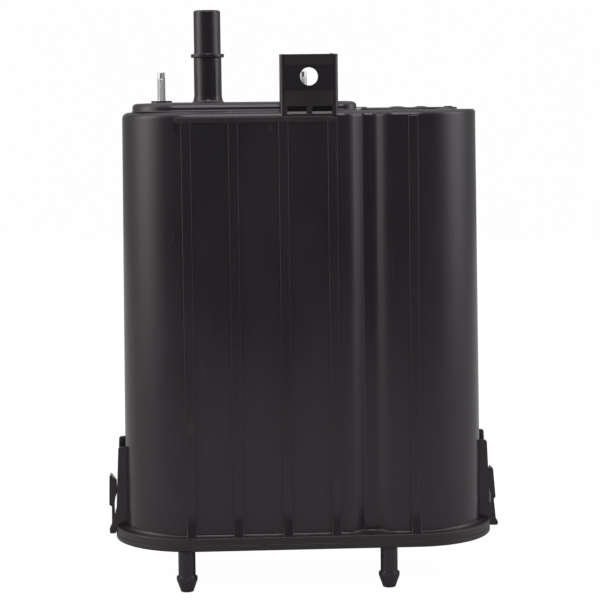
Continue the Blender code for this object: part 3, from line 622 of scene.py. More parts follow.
def add_rib(piece, x, side, top_z):
    root = 0.0012
    start = (side * (wall_radius(top_z) - root), top_z)
    path = [(side * (wall_radius(top_z) + 0.0006), top_z), (side * (wall_radius(KNEE_Z) + 0.0012), KNEE_Z)]
    path += [(side * (COVER_RADIUS - 0.0002), FLANGE_Z), (side * (COVER_RADIUS - 0.0002), FLANGE_Z - 0.0022)]
    path += [(side * (wall_radius(FLANGE_Z) - root), FLANGE_Z - 0.0022)]
    slab(piece, "YZ", start, path, x - RIB_WIDTH / 2, x + RIB_WIDTH / 2, 0.00055, 4)


for x in RIB_XS:
    add_rib(housing, x, -1, BAND_HIGH_Z - 0.0010 if x < 0.03 else BAND_HIGH_Z)
    add_rib(housing, x, 1, BAND_HIGH_Z)
band_y = -wall_radius(BAND_LOW_Z)
band_path = [(BAND_RIGHT_X, BAND_LOW_Z), (BAND_RIGHT_X, BAND_HIGH_Z), (BAND_LEFT_X, BAND_HIGH_Z)]
slab(housing, "XZ", (BAND_LEFT_X, BAND_LOW_Z), band_path, band_y - 0.0006, band_y + 0.0010, 0.00045, 4, 2)
for x in (BAND_LEFT_X, 0.0178):
    path = [(x + 0.0004, 0.2420), (x + 0.0004, BAND_LOW_Z + 0.001), (x, BAND_LOW_Z + 0.001)]
    slab(housing, "XZ", (x, 0.2420), path, band_y - 0.00035, band_y + 0.0010, 0.0001)
print("With ribs and band:", len(housing.faces), "faces")

# %% [markdown]
# ## Platform, studs' bosses and tank port
# The platform over the large chamber is another set of rings: a small fillet where it leaves the shoulder
# and a round rim. The port and the bosses are profiles spun about their own axes. The port's bead stops
# the hose connector, and its lip is rounded so that the connector's seal isn't cut.

# %% Platform
PLATFORM_LEFT_X = -0.0982
PLATFORM_RIGHT_X = 0.0322
PLATFORM_HALF_DEPTH = 0.0330
PLATFORM_LEFT_RADIUS = 0.0250
PLATFORM_RIGHT_RADIUS = 0.0090
PLATFORM_ROUND = 0.0038
PLATFORM_END_ROUND = 0.0026
PLATFORM_CROWN = 0.00055


def platform_ring(part, z, inset):
    left_radius, right_radius = PLATFORM_LEFT_RADIUS - inset, PLATFORM_RIGHT_RADIUS - inset
    left_centre = (PLATFORM_LEFT_X + PLATFORM_LEFT_RADIUS, PLATFORM_LEFT_RADIUS - PLATFORM_HALF_DEPTH)
    right_centre = (PLATFORM_RIGHT_X - PLATFORM_RIGHT_RADIUS, PLATFORM_RIGHT_RADIUS - PLATFORM_HALF_DEPTH)
    path = [(left_centre[0] - left_radius, left_centre[1]), (left_centre, 90.0)]
    path += [(right_centre[0], right_centre[1] - right_radius), (right_centre, 90.0)]
    path += [(right_centre[0] + right_radius, 0.0)]
    return mirrored(part, draw(part, (PLATFORM_LEFT_X + inset, 0.0), path), z)


def tighten_platform_ends(ring, inset, drop):
    """Makes the rim's round smaller at both ends, and lets the top rise a little between them."""
    for vert in corners_of(ring):
        left = PLATFORM_LEFT_X + PLATFORM_LEFT_RADIUS - vert.co.x
        right = vert.co.x - PLATFORM_RIGHT_X + PLATFORM_RIGHT_RADIUS
        beyond, radius = (left, PLATFORM_LEFT_RADIUS) if left > right else (right, PLATFORM_RIGHT_RADIUS)
        weight = min(1.0, max(0.0, beyond / radius)) ** 2 * (1.0 - PLATFORM_END_ROUND / PLATFORM_ROUND)
        vert.co.x += inset * weight * (-1.0 if left > right else 1.0)
        vert.co.z += drop * weight
        span = min(1.0, abs(vert.co.x + 0.030) / 0.062)
        vert.co.z += PLATFORM_CROWN * (1.0 - span ** 3) * (1.0 - drop / PLATFORM_ROUND)


platform = bmesh.new()
rings = [platform_ring(platform, SHOULDER_Z - 0.00003 + rise, -outset) for rise, outset in rounding(0.0013, 5)]
for inset, drop in rounding(PLATFORM_ROUND, 10):
    ring = platform_ring(platform, PLATFORM_Z - drop, inset)
    tighten_platform_ends(ring, inset, drop)
    rings.append(ring)
loft(platform, rings)
pour(platform, housing)
print("Platform:", len(housing.faces), "faces so far")

# %% Ports and stud bosses
PORT_X = -0.0537
STUD_XS = {"tank_side_stud": -0.0811, "tab_side_stud": 0.0025}
BOSS_TOP_Z = 0.2602
port_profile = [(0.0, 0.2595), (0.0059, 0.2595), (0.0059, 0.3122), ((0.0066, 0.3122), -90.0)]
port_profile += [(0.0066, 0.3129), ((0.0066, 0.3116), -90.0), (0.00791, 0.3110), (0.00791, 0.2877)]
port_profile += [((0.00821, 0.2877), 90.0), (0.0093, 0.2874), ((0.0093, 0.2869), -90.0), (0.0098, 0.2857)]
port_profile += [((0.0093, 0.2857), -90.0), (0.0085, 0.2852), ((0.0085, 0.2849), 90.0), (0.0082, 0.2625)]
port_profile += [(0.0085, 0.2618), (0.0085, 0.2612), ((0.0110, 0.2612), 90.0), (0.0112, 0.2582), (0.0, 0.2582)]
turned(housing, (PORT_X, 0.0, 0.0), port_profile, 96, finish=1)


def boss_profile(radius, top, low, bore):
    edge = 0.0004
    profile = [(0.0, top - 0.0010), (bore, top - 0.0010), (bore, top), (radius - edge, top)]
    profile += [((radius - edge, top - edge), -90.0), (radius, low + edge), (radius + edge, low)]
    return profile + [(0.0, low)]


for x in STUD_XS.values():
    turned(housing, (x, 0.0, 0.0), boss_profile(0.00615, BOSS_TOP_Z, PLATFORM_Z - 0.00003, 0.0028), 64)


def back_port_profile(radius, bore, root, tip):
    """Plain beaded hose tube, in distance from the canister's middle."""
    bead_at = tip - 0.0130
    profile = [(0.0, root + 0.0010), (bore, root + 0.0010), (bore, tip - 0.0004), (bore + 0.0004, tip)]
    profile += [(radius - 0.0008, tip), ((radius - 0.0008, tip - 0.0008), -90.0), (radius, bead_at + 0.0024)]
    profile += [(radius + 0.0006, bead_at + 0.0024), ((radius + 0.0006, bead_at + 0.0012), -180.0)]
    profile += [(radius, bead_at), (radius, root + 0.0016), ((radius + 0.0015, root + 0.0016), 90.0)]
    return profile + [(0.0, root)]


BACK_PORT_Z = 0.2386
for x, radius, bore in ((-0.0300, 0.00495, 0.0033), (0.0700, 0.0095, 0.0074)):
    back = wall_radius(BACK_PORT_Z)
    profile = back_port_profile(radius, bore, back - 0.0003, back + 0.0240)
    turned(housing, (x, 0.0, BACK_PORT_Z), profile, 64, "back", 1)
print("With ports and bosses:", len(housing.faces), "faces")

# %% [markdown]
# ## Mounting tab
# The tab is a flat sheet first: a circle for the bolt hole, whose edge is extruded outwards and laid on the
# rectangle of the tab. Bisecting the sheet along the windows lets their faces be deleted. Only then does it
# get its thickness, so that every hole has walls. The face round the hole is a pad, sunk a little and
# smoother than the rest. Each side has a strip that runs back as a gusset, and its broad front round catches
# the light of the side panel. Under the windows a sloping sill shows as a bright line.

# %% Tab plate
TAB_LEFT_X = -0.0128
TAB_RIGHT_X = 0.0206
TAB_TOP_Z = 0.2857
TAB_LOW_Z = 0.2510
TAB_FRONT_Y = -0.03939
TAB_BACK_Y = -0.0360
STRIP_LAP = 0.0012
STRIP_INNER_XS = (-0.0101, 0.0181)
PAD_DEPTH = 0.0002
SILL_TOP_Z = 0.2531
SHADE_SHEET_TOP_Z = 0.2564
HOLE_X = 0.0040
HOLE_Z = 0.2730
HOLE_RADIUS = 0.00515
WINDOW_XS = ((-0.0087, 0.0023), (0.0057, 0.0170))
WINDOW_ZS = (0.2500, 0.2561)
PAD_XS = (-0.0096, 0.0177)
PAD_ZS = (0.2649, 0.2795)


def cut_sheet(part, axis, values):
    """Cuts every face along planes at right angles to an axis."""
    normal = [0.0, 0.0, 0.0]
    normal[axis] = 1.0
    for value in values:
        place = [0.0, 0.0, 0.0]
        place[axis] = value
        bmesh.ops.bisect_plane(part, geom=part.verts[:] + part.edges[:] + part.faces[:], dist=TINY,
                               plane_co=place, plane_no=normal)


def within(value, limits):
    return limits[0] < value < limits[1]


tab = bmesh.new()
bmesh.ops.create_circle(tab, cap_ends=False, radius=HOLE_RADIUS, segments=64)
rim = verts_in(bmesh.ops.extrude_edge_only(tab, edges=tab.edges[:]))
limits_x = (TAB_LEFT_X + STRIP_LAP - HOLE_X, TAB_RIGHT_X - STRIP_LAP - HOLE_X)
limits_z = (TAB_LOW_Z - HOLE_Z, TAB_TOP_Z - HOLE_Z)
for vert in rim:
    reach_x = limits_x[vert.co.x > 0] / vert.co.x if abs(vert.co.x) > TINY else 1e9
    reach_z = limits_z[vert.co.y > 0] / vert.co.y if abs(vert.co.y) > TINY else 1e9
    vert.co *= min(reach_x, reach_z)
for x in limits_x:
    for z in limits_z:
        min(rim, key=lambda v: (v.co - Vector((x, z, 0.0))).length).co = (x, z, 0.0)
bmesh.ops.translate(tab, verts=tab.verts, vec=(HOLE_X, HOLE_Z, 0.0))
cut_sheet(tab, 0, [x for pair in WINDOW_XS for x in pair] + list(PAD_XS))
cut_sheet(tab, 1, list(WINDOW_ZS) + list(PAD_ZS))
windows = [f for f in tab.faces if within(f.calc_center_median().y, WINDOW_ZS)
           and any(within(f.calc_center_median().x, pair) for pair in WINDOW_XS)]
bmesh.ops.delete(tab, geom=windows, context='FACES')
bmesh.ops.transform(tab, verts=tab.verts, matrix=PLANES["XZ"].to_4x4())
bmesh.ops.translate(tab, verts=tab.verts, vec=(0.0, TAB_FRONT_Y, 0.0))
thicken(tab, tab.faces[:], (0.0, TAB_BACK_Y - TAB_FRONT_Y, 0.0))
bmesh.ops.recalc_face_normals(tab, faces=tab.faces)
for face in tab.faces:
    face.material_index = 0 if within(face.calc_center_median().z, PAD_ZS) else 2
pad = [f for f in tab.faces if f.normal.y < -0.9 and within(f.calc_center_median().x, PAD_XS)
       and within(f.calc_center_median().z, PAD_ZS)]
thicken(tab, pad, (0.0, PAD_DEPTH, 0.0))
bmesh.ops.delete(tab, geom=pad, context='FACES')
pour(tab, housing)

# %% Tab edges, gussets and the burr left by the mould
GUSSET_FOOT_Y = -0.0293
STRIP_ROUND = 0.0024
STRIP_FRONT_Y = TAB_FRONT_Y - 0.0004
strip_sides = ((TAB_LEFT_X - 0.00004, STRIP_INNER_XS[0]), (STRIP_INNER_XS[1], TAB_RIGHT_X + 0.00004))
for left, right in strip_sides:
    strip = bmesh.new()
    low_z, high_z = TAB_LOW_Z - 0.0002, TAB_TOP_Z + 0.00005
    path = [(STRIP_FRONT_Y, high_z), (TAB_BACK_Y + 0.0005, high_z), (GUSSET_FOOT_Y, PLATFORM_Z - 0.0005)]
    path += [(GUSSET_FOOT_Y, SHOULDER_Z - 0.0014), (-0.0370, low_z)]
    bmesh.ops.contextual_create(strip, geom=closed(strip, draw(strip, (STRIP_FRONT_Y, low_z), path)))
    thicken(strip, list(strip.faces), (0.0, 0.0, right - left))
    bmesh.ops.transform(strip, verts=strip.verts, matrix=PLANES["YZ"].to_4x4())
    bmesh.ops.translate(strip, verts=strip.verts, vec=(left, 0.0, 0.0))
    outer_x = left if left < 0.0 else right
    soften(strip, STRIP_ROUND, 8, keep=lambda e: all(abs(v.co.x - outer_x) < TINY
                                                     and v.co.y < TAB_FRONT_Y for v in e.verts))
    soften(strip, 0.0002, 2, angle=50.0)
    pour(strip, housing)
slab(housing, "XZ", (0.0158, 0.2850), [(0.0178, 0.2850), (0.0176, 0.28605), (0.0164, 0.2861)],
     TAB_FRONT_Y + 0.0004, TAB_BACK_Y - 0.0008, 0.0002)
# A thin sheet of nylon behind the windows, put there only to keep them dark: it stands in for shade, not for a
# known wall of the part.
window_shade_sheet = [(0.0191, TAB_LOW_Z), (0.0191, SHADE_SHEET_TOP_Z), (-0.0110, SHADE_SHEET_TOP_Z)]
slab(housing, "XZ", (-0.0110, TAB_LOW_Z), window_shade_sheet, -0.0353, -0.0342, 0.0002)
sill = [(-0.0394, 0.2516), (-0.0387, SILL_TOP_Z), (-0.0345, SILL_TOP_Z), (-0.0345, 0.2503)]
slab(housing, "YZ", (-0.0394, 0.2503), sill, -0.0105, 0.0185, 0.0002)
print("With the tab:", len(housing.faces), "faces")

# %% [markdown]
# ## Guide rails and snap latches
# The rails guide the canister into its bracket, and the latches snap over the bracket's edge. Each is a
# side view, extruded. The right latch leans in a little on the real one, so it has an outline of its own.

# %% Rails and latches
LATCH_HALF_WIDTH = 0.0040
RAIL_Y = 0.0065
RAIL_THICKNESS = 0.0030


def add_rail(piece, side, y, top):
    root = END_X + math.sqrt((wall_radius(0.03) - 0.0012) ** 2 - y ** 2)
    path = [(side * 0.1135, 0.0055), (side * 0.1135, 0.0140), (side * 0.1122, 0.0178)]
    path += [(side * 0.1105, top - 0.0014), ((side * 0.1091, top - 0.0014), side * 90.0)]
    path += [(side * (root - 0.0008), top + 0.0003)]
    slab(piece, "XZ", (side * root, 0.0055), path, y - RAIL_THICKNESS / 2, y + RAIL_THICKNESS / 2, 0.0004)


for side in (-1, 1):
    add_rail(housing, side, -RAIL_Y, 0.0552)
    add_rail(housing, side, RAIL_Y, 0.0594)

LEFT_LATCH = [(-0.1131, 0.0033), (-0.1131, 0.0022), (-0.1164, 0.0022), (-0.1168, 0.0040), (-0.1167, 0.0054)]
LEFT_LATCH += [(-0.1153, 0.0074), (-0.1152, 0.0187), (-0.1167, 0.0196), (-0.1163, 0.0366), (-0.1157, 0.0379)]
LEFT_LATCH += [(-0.1150, 0.0376), (-0.1122, 0.0337), (-0.1121, 0.0262), (-0.1132, 0.0232), (-0.1137, 0.0190)]
LEFT_LATCH += [(-0.1137, 0.0092), (-0.1128, 0.0072), (-0.1083, 0.0066)]
RIGHT_LATCH = [(0.1131, 0.0033), (0.1131, 0.0022), (0.1172, 0.0022), (0.1178, 0.0034), (0.1175, 0.0048)]
RIGHT_LATCH += [(0.1164, 0.0066), (0.1152, 0.0182), (0.1163, 0.0196), (0.1149, 0.0362), (0.1143, 0.0377)]
RIGHT_LATCH += [(0.1136, 0.0377), (0.1114, 0.0346), (0.1112, 0.0262), (0.1130, 0.0240), (0.1139, 0.0160)]
RIGHT_LATCH += [(0.1146, 0.0092), (0.1134, 0.0072), (0.1083, 0.0066)]
for side, latch in ((-1, LEFT_LATCH), (1, RIGHT_LATCH)):
    slab(housing, "XZ", (side * 0.1083, 0.0033), latch, -LATCH_HALF_WIDTH, LATCH_HALF_WIDTH, 0.00025)
print("With rails and latches:", len(housing.faces), "faces")

# %% [markdown]
# ## Honeycomb on the small chamber
# Thin walls in a honeycomb stiffen the small roof, inside a low rim. The cells are hexagons set side by side
# and merged into one sheet. Insetting each cell leaves the lattice between them. Planes along the rim cut
# off what lies outside it, and the rest is raised. Its top is uneven, so its height follows a few humps.

# %% Honeycomb lattice
CELL_PITCH = 0.0150
CELL_WALL = 0.0026
COMB_LEFT_X = 0.0348
COMB_RIGHT_X = 0.0936
COMB_HALF_DEPTH = 0.0278
COMB_CORNER = 0.0040
COMB_END_RADIUS = 0.0248
COMB_RISE = 0.0013
COMB_HUMP = 0.0008
HUMPS = ((0.0340, 0.0042), (0.0557, 0.0045), (0.0698, 0.0034), (0.0864, 0.0026), (0.0943, 0.0028))


def comb_ring(part, z, inset):
    low_y = -COMB_HALF_DEPTH
    corner_centre = (COMB_LEFT_X + COMB_CORNER, low_y + COMB_CORNER)
    path = [(COMB_LEFT_X + inset, low_y + COMB_CORNER), (corner_centre, 90.0)]
    path += [(COMB_RIGHT_X - COMB_END_RADIUS, low_y + inset)]
    path += [((COMB_RIGHT_X - COMB_END_RADIUS, low_y + COMB_END_RADIUS), 90.0), (COMB_RIGHT_X - inset, 0.0)]
    return mirrored(part, draw(part, (COMB_LEFT_X + inset, 0.0), path, arc_step=7.5), z)


def hump(x, y):
    """How far the worn top stands up, from 0 to 1, along lines that lean with the flow of the plastic."""
    along = x - 0.092 * (y + COMB_HALF_DEPTH)
    return max(max(0.0, min(1.0, 2.0 - abs(along - middle) / reach * 1.6)) for middle, reach in HUMPS)


rim = bmesh.new()
low_z = SHOULDER_Z - 0.0002
rings = [comb_ring(rim, low_z, 0.0)]
rings += [comb_ring(rim, SHOULDER_Z + COMB_RISE - drop, inset) for inset, drop in rounding(0.0011, 6)]
rings += [comb_ring(rim, SHOULDER_Z + COMB_RISE, CELL_WALL), comb_ring(rim, low_z, CELL_WALL)]
loft(rim, rings + [rings[0]], cap_low=False, cap_high=False)
pour(rim, housing)

lattice = bmesh.new()
for row in range(-2, 3):
    for column in range(5):
        x = COMB_LEFT_X + 0.0072 + (column + (0.5 if row % 2 else 0.0)) * CELL_PITCH
        y = row * CELL_PITCH * math.sqrt(3) / 2
        place = Matrix.Translation((x, y, 0.0)) @ Matrix.Rotation(math.pi / 6, 4, 'Z')
        bmesh.ops.create_circle(lattice, cap_ends=True, radius=CELL_PITCH / math.sqrt(3), segments=6,
                                matrix=place)
bmesh.ops.remove_doubles(lattice, verts=lattice.verts, dist=0.00002)
cell_faces = lattice.faces[:]
bmesh.ops.inset_individual(lattice, faces=cell_faces, thickness=CELL_WALL / 2, use_even_offset=True)
bmesh.ops.delete(lattice, geom=cell_faces, context='FACES')
edge = 0.0014
limits = [((COMB_LEFT_X + edge, 0.0), 180.0), ((COMB_RIGHT_X - edge, 0.0), 0.0)]
limits += [((0.0, side * (COMB_HALF_DEPTH - edge)), side * 90.0) for side in (-1, 1)]
for degrees in range(-80, 81, 10):
    turn = math.radians(degrees)
    reach = COMB_END_RADIUS - edge
    centre_y = math.copysign(COMB_HALF_DEPTH - COMB_END_RADIUS, degrees)
    centre_x = COMB_RIGHT_X - COMB_END_RADIUS
    limits.append(((centre_x + reach * math.cos(turn), centre_y + reach * math.sin(turn)), degrees))
for point, degrees in limits:
    outward = (math.cos(math.radians(degrees)), math.sin(math.radians(degrees)), 0.0)
    bmesh.ops.bisect_plane(lattice, geom=lattice.verts[:] + lattice.edges[:] + lattice.faces[:], dist=TINY,
                           plane_co=(*point, 0.0), plane_no=outward, clear_outer=True)
bmesh.ops.dissolve_degenerate(lattice, edges=lattice.edges[:], dist=0.00005)
bmesh.ops.triangulate(lattice, faces=lattice.faces[:])
bmesh.ops.subdivide_edges(lattice, edges=[e for e in lattice.edges if e.calc_length() > 0.004], cuts=2)
bmesh.ops.triangulate(lattice, faces=lattice.faces[:])
for vert in verts_in(bmesh.ops.extrude_face_region(lattice, geom=lattice.faces[:], use_keep_orig=True)):
    uneven = 0.0001 * noise.noise(vert.co * 400.0)
    vert.co.z = COMB_RISE - 0.0001 + COMB_HUMP * hump(vert.co.x, vert.co.y) + uneven
bmesh.ops.translate(lattice, verts=lattice.verts, vec=(0.0, 0.0, low_z))
pour(lattice, housing)
print("With the honeycomb:", len(housing.faces), "faces")

finished(housing, "housing", [housing_nylon, port_nylon, edge_nylon], "black_nylon", "canister_body")

# %% [markdown]
# ## Bottom cover with its posts
# The cover is one flat moulding. Its two posts have a barb that snaps into a rubber grommet, a shallow
# groove above the barb, and a fillet at the root, where the post would break first.

# %% Cover and posts
POST_XS = (-0.0703, 0.0476)
POST_Y = -0.0423
cover = bmesh.new()
plate = bmesh.new()
rings = rounded_plate_rings(plate, stadium_ring, 0.0, COVER_TOP_Z, COVER_RADIUS, 0.0007, 0.0004, 4)
loft(plate, rings)
pour(plate, cover)
post_profile = [(0.0, 0.0003), (0.0060, 0.0003), (0.0060, 0.0), ((0.0060, -0.0010), 90.0), (0.0050, -0.0144)]
post_profile += [(0.0052, -0.0149), (0.0058, -0.0150), ((0.0058, -0.0153), -90.0), (0.0061, -0.0170)]
post_profile += [((0.0052, -0.0170), -30.0), (0.0038, -0.0236), ((0.0034, -0.0236), -60.0), (0.0, -0.0241)]
for x in POST_XS:
    turned(cover, (x, POST_Y, 0.0), post_profile, 64, finish=1)
finished(cover, "cover", [edge_nylon, housing_nylon], "black_nylon", "bottom_cover")

# %% [markdown]
# ## Threaded studs
# A stud starts as a spun rod with many rings. Each ring's vertices move in and out with their height and
# their angle, which turns the rings into one helical thread of 0.8 mm pitch that runs out at both ends.

# %% Studs
PITCH = 0.0008
THREAD_DEPTH = 0.0004
STUD_TOP_Z = 0.2770
NOSE_Z = 0.2734


def add_stud(name, x, material):
    """A stud whose thread is cut by moving the vertices of its shaft in along a helix."""
    stud = bmesh.new()
    thread_low_z = BOSS_TOP_Z + 0.0004
    profile = [(0.0, BOSS_TOP_Z - 0.0060), (0.0024, BOSS_TOP_Z - 0.0060), (0.0024, thread_low_z)]
    steps = 104
    profile += [(0.0024, thread_low_z + (NOSE_Z - BOSS_TOP_Z - 0.0004) * k / steps) for k in range(1, steps)]
    profile += [(0.0021, NOSE_Z), (0.0021, STUD_TOP_Z - 0.0005), ((0.0016, STUD_TOP_Z - 0.0005), 90.0)]
    profile += [(0.0, STUD_TOP_Z)]
    part = spun(profile, 32)
    for vert in part.verts:
        radius = math.hypot(vert.co.x, vert.co.y)
        if BOSS_TOP_Z < vert.co.z < NOSE_Z - TINY and radius > 0.0023:
            phase = (vert.co.z / PITCH - math.atan2(vert.co.y, vert.co.x) / math.tau) % 1.0
            fade = min(1.0, (vert.co.z - BOSS_TOP_Z) / PITCH, (NOSE_Z - vert.co.z) / PITCH)
            grown = radius + 0.0001 - THREAD_DEPTH * fade * (1.0 - abs(2.0 * phase - 1.0))
            vert.co.x *= grown / radius
            vert.co.y *= grown / radius
    bmesh.ops.translate(part, verts=part.verts, vec=(x, 0.0, 0.0))
    pour(part, stud)
    return finished(stud, name, [material], "zinc_plated_steel", name)


zinc, tree, shader = new_material("zinc_plating")
shader.inputs["Metallic"].default_value = 1.0
surface = use_group(tree, grain, Fine=0.6, Broad=0.4)
marks = use_group(tree, scratches, Amount=0.5)
tone = blend(tree, ramp(tree, surface.outputs["Patch"], 0.3, 0.7), (0.60, 0.60, 0.58), (0.72, 0.72, 0.71))
rough = plus(tree, times(tree, marks.outputs["Mask"], 0.2), 0.30)
dress(tree, shader, tone, rough, surface.outputs["Height"], 0.2)
for name, x in STUD_XS.items():
    add_stud(name, x, zinc)

# %% [markdown]
# ## What is inside
# Springs, plates, filters and carbon can't be seen in the photo, so the CAD nodes stay as they are and only
# get a finish: drawn wire, plain moulded plastic, needled felt, and carbon as a bed of pellets, which cell
# noise gives as round bumps.

# %% Finishes of the inner nodes
def plain_finish(name, low, high, roughness, metallic, scale, bump, pellets=False):
    """A finish between two colours, with noise or round pellets as relief; pellets get painted shade in their
    gaps.
    """
    material, tree, shader = new_material(name)
    shader.inputs["Metallic"].default_value = metallic
    place = node(tree, 'ShaderNodeTexCoord').outputs["Object"]
    if pellets:
        height = node(tree, 'ShaderNodeTexVoronoi', Vector=place, Scale=scale).outputs["Distance"]
        height = maths(tree, 'SUBTRACT', 1.0, height)
    else:
        height = object_noise(tree, scale, 4.0, 0.6)
    rough = plus(tree, times(tree, height, 0.1), roughness)
    # With noise the colour is random tone; with pellets it follows their height, so the gaps between pellets
    # get painted shade.
    dress(tree, shader, blend(tree, height, low, high), rough, height, bump, 0.0003)
    return material


inner_finishes = {
    "spring": plain_finish("drawn_wire", (0.28, 0.28, 0.29), (0.40, 0.40, 0.41), 0.30, 1.0, 1500.0, 0.1),
    "filter": plain_finish("needled_felt", (0.42, 0.43, 0.42), (0.62, 0.63, 0.62), 0.85, 0.0, 1800.0, 0.8),
    "bed": plain_finish("carbon_pellets", (0.006, 0.006, 0.007), (0.020, 0.020, 0.021), 0.80, 0.0, 450.0, 1.0,
                        True),
    "plate": plain_finish("moulded_plate", (0.08, 0.08, 0.09), (0.11, 0.11, 0.12), 0.45, 0.0, 900.0, 0.2),
    "grid": plain_finish("moulded_grid", (0.08, 0.08, 0.09), (0.11, 0.11, 0.12), 0.45, 0.0, 900.0, 0.2),
}
for name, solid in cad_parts.items():
    for word, material in inner_finishes.items():
        if word in name.split("_"):
            solid.data.materials.clear()
            solid.data.materials.append(material)
print("Inner nodes finished:", sum(not solid.hide_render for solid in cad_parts.values()))

# %% [markdown]
# ## Studio
# Black plastic shows the room more than itself. Two tall bright panels in the world, left and right, give the
# long highlights on the round ends and in the valley. One soft box overhead and in front lights the shoulder,
# and the white floor shows in the lowest part of the walls. The room in front stays dim, which keeps the
# middle of the walls black. The floor and the room look white to the camera only, so that a white background
# puts no light on the canister.

# %% Floor
FLOOR_Z = -0.0243
floor_mesh = bpy.data.meshes.new("floor")
sheet = bmesh.new()
bmesh.ops.create_grid(sheet, x_segments=1, y_segments=1, size=1.0)
bmesh.ops.scale(sheet, verts=sheet.verts, vec=(2.2, 1.925, 1.0))
bmesh.ops.translate(sheet, verts=sheet.verts, vec=(0.0, 0.825, FLOOR_Z))
sheet.to_mesh(floor_mesh)
sheet.free()
placed("floor", floor_mesh)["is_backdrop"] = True
paper, tree, shader = new_material("white_floor")
shader.inputs["Base Color"].default_value = (0.46, 0.45, 0.46, 1.0)
shader.inputs["Roughness"].default_value = 0.8
shader.inputs["Specular IOR Level"].default_value = 0.2
glow = node(tree, 'ShaderNodeEmission', Color=(1.0, 1.0, 1.0, 1.0), Strength=1.09)
rays = node(tree, 'ShaderNodeLightPath')
share = times(tree, rays.outputs["Is Camera Ray"], 0.90)
mix = node(tree, 'ShaderNodeMixShader', Fac=share)
tree.links.new(shader.outputs["BSDF"], mix.inputs[1])
tree.links.new(glow.outputs["Emission"], mix.inputs[2])
tree.links.new(mix.outputs["Shader"], tree.nodes["Material Output"].inputs["Surface"])
floor_mesh.materials.append(paper)
print("Floor at z =", FLOOR_Z)

# %% Room light and lamp
PANEL_AZIMUTH = math.radians(80.0)
PANEL_FOCUS = 12.0
world = bpy.data.worlds.new("studio")
bpy.context.scene.world = world
world.use_nodes = True
tree = world.node_tree
background = tree.nodes["Background"]
direction = node(tree, 'ShaderNodeTexCoord').outputs["Generated"]
parts = node(tree, 'ShaderNodeSeparateXYZ', Vector=direction)
flat = node(tree, 'ShaderNodeVectorMath', {"operation": 'MULTIPLY'}, n0=direction, n1=(1.0, 1.0, 0.0))
flat = node(tree, 'ShaderNodeVectorMath', {"operation": 'NORMALIZE'}, n0=flat.outputs["Vector"])
flat = flat.outputs["Vector"]


def panel(side, low, high, brightness):
    """A tall bright panel to one side. It grows from nothing at a low direction to full at a high one."""
    towards = (side * math.sin(PANEL_AZIMUTH), -math.cos(PANEL_AZIMUTH), 0.0)
    facing = node(tree, 'ShaderNodeVectorMath', {"operation": 'DOT_PRODUCT'}, n0=flat, n1=towards)
    beside = maths(tree, 'SUBTRACT', facing.outputs["Value"], 1.0)
    bump = maths(tree, 'EXPONENT', times(tree, beside, PANEL_FOCUS))
    upright = times(tree, ramp(tree, parts.outputs["Z"], low, high, 'LINEAR'), brightness)
    top = maths(tree, 'SUBTRACT', 1.0, times(tree, ramp(tree, parts.outputs["Z"], 0.45, 0.75), 0.75))
    return times(tree, times(tree, bump, upright), top)


left_panel = panel(-1, -0.14, 0.07, 3.15)
right_panel = panel(1, -0.135, 0.07, 2.6)
level = times(tree, ramp(tree, parts.outputs["Y"], -0.75, 0.1), 0.17)
level = plus(tree, level, times(tree, ramp(tree, parts.outputs["Z"], 0.35, 0.95), 0.9))
level = plus(tree, plus(tree, level, 0.14), plus(tree, left_panel, right_panel))
rays = node(tree, 'ShaderNodeLightPath')
seen = maths(tree, 'MAXIMUM', rays.outputs["Is Camera Ray"], rays.outputs["Is Transmission Ray"])
white = times(tree, rays.outputs["Is Glossy Ray"], ramp(tree, parts.outputs["Y"], 0.94, 0.995))
seen = maths(tree, 'MAXIMUM', seen, white)
strength = plus(tree, times(tree, level, maths(tree, 'SUBTRACT', 1.0, seen)), seen)
tree.links.new(strength, background.inputs["Strength"])
warmth = times(tree, left_panel, 0.33, clamp=True)
tree.links.new(blend(tree, warmth, (1.0, 0.99, 1.0), (1.0, 0.97, 0.92)), background.inputs["Color"])


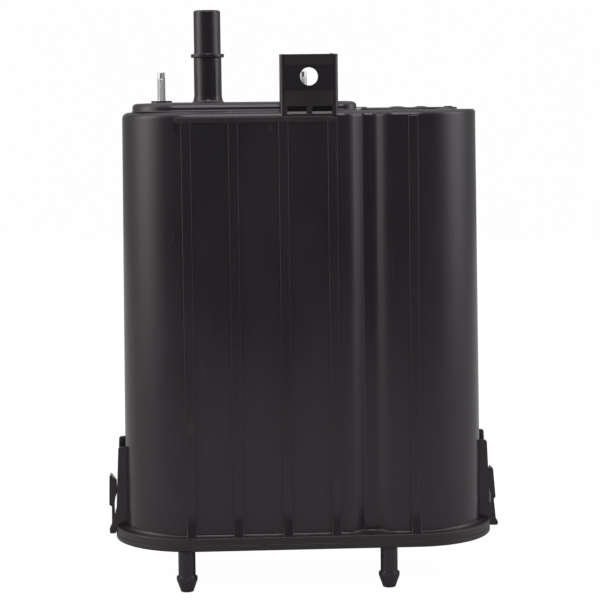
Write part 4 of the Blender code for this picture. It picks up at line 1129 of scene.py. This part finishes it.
def soft_box(name, place, aim, width, height, radiance):
    """An area lamp that faces a point, given by the brightness of its face."""
    light = bpy.data.lights.new(name, 'AREA')
    light.shape = 'RECTANGLE'
    light.size = width
    light.size_y = height
    light.energy = radiance * math.pi * width * height
    holder = placed(name, light)
    holder.location = place
    holder.rotation_euler = (Vector(aim) - Vector(place)).to_track_quat('-Z', 'Y').to_euler()


soft_box("top_box", (0.0, -0.87, 1.21), (0.0, 0.0, 0.25), 0.54, 0.78, 3.5)

# %% [markdown]
# ## Camera
# The camera stands level with the shoulder and looks a little down, turned slightly to the right. These
# numbers come from matching the edges of the flange, walls and posts with their places in the photo. The
# focal length was found in pixels of the photo, and becomes millimetres through the width of the sensor.

# %% Camera
YAW = math.radians(2.829)
PITCH_DOWN = math.radians(5.213)
ROLL = math.radians(0.655)
CAMERA_PLACE = (-0.05525, -1.10664, 0.25385)
PHOTO_WIDTH = 600.0
FOCAL_LENGTH = 1861.6
CENTRE_SHIFT = -20.0
SENSOR_WIDTH = 36.0
heading = Vector((math.sin(YAW), math.cos(YAW), 0.0))
forward = heading * math.cos(PITCH_DOWN) - Vector((0.0, 0.0, math.sin(PITCH_DOWN)))
level_right = forward.cross(Vector((0.0, 0.0, 1.0))).normalized()
level_up = level_right.cross(forward)
right = level_right * math.cos(ROLL) - level_up * math.sin(ROLL)
up = level_right * math.sin(ROLL) + level_up * math.cos(ROLL)
camera_data = bpy.data.cameras.new("camera")
camera = placed("camera", camera_data)
camera_turn = Matrix((right, up, -forward)).transposed().to_4x4()
camera.matrix_world = Matrix.Translation(CAMERA_PLACE) @ camera_turn
camera_data.sensor_width = SENSOR_WIDTH
camera_data.lens = FOCAL_LENGTH / PHOTO_WIDTH * SENSOR_WIDTH
camera_data.shift_y = CENTRE_SHIFT / PHOTO_WIDTH
camera_data.clip_start = 0.05
camera_data.clip_end = 20.0
bpy.context.scene.camera = camera
bpy.context.scene.view_settings.view_transform = 'Standard'
print("Lens:", round(camera_data.lens, 1), "mm")

# %% [markdown]
# ## Size of the dressed model
# The dressed model has to keep the size of the CAD model, so its box is printed.

# %% Print the box
low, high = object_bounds()
print("Visual box:", [round(v, 4) for v in (*low, *high)])
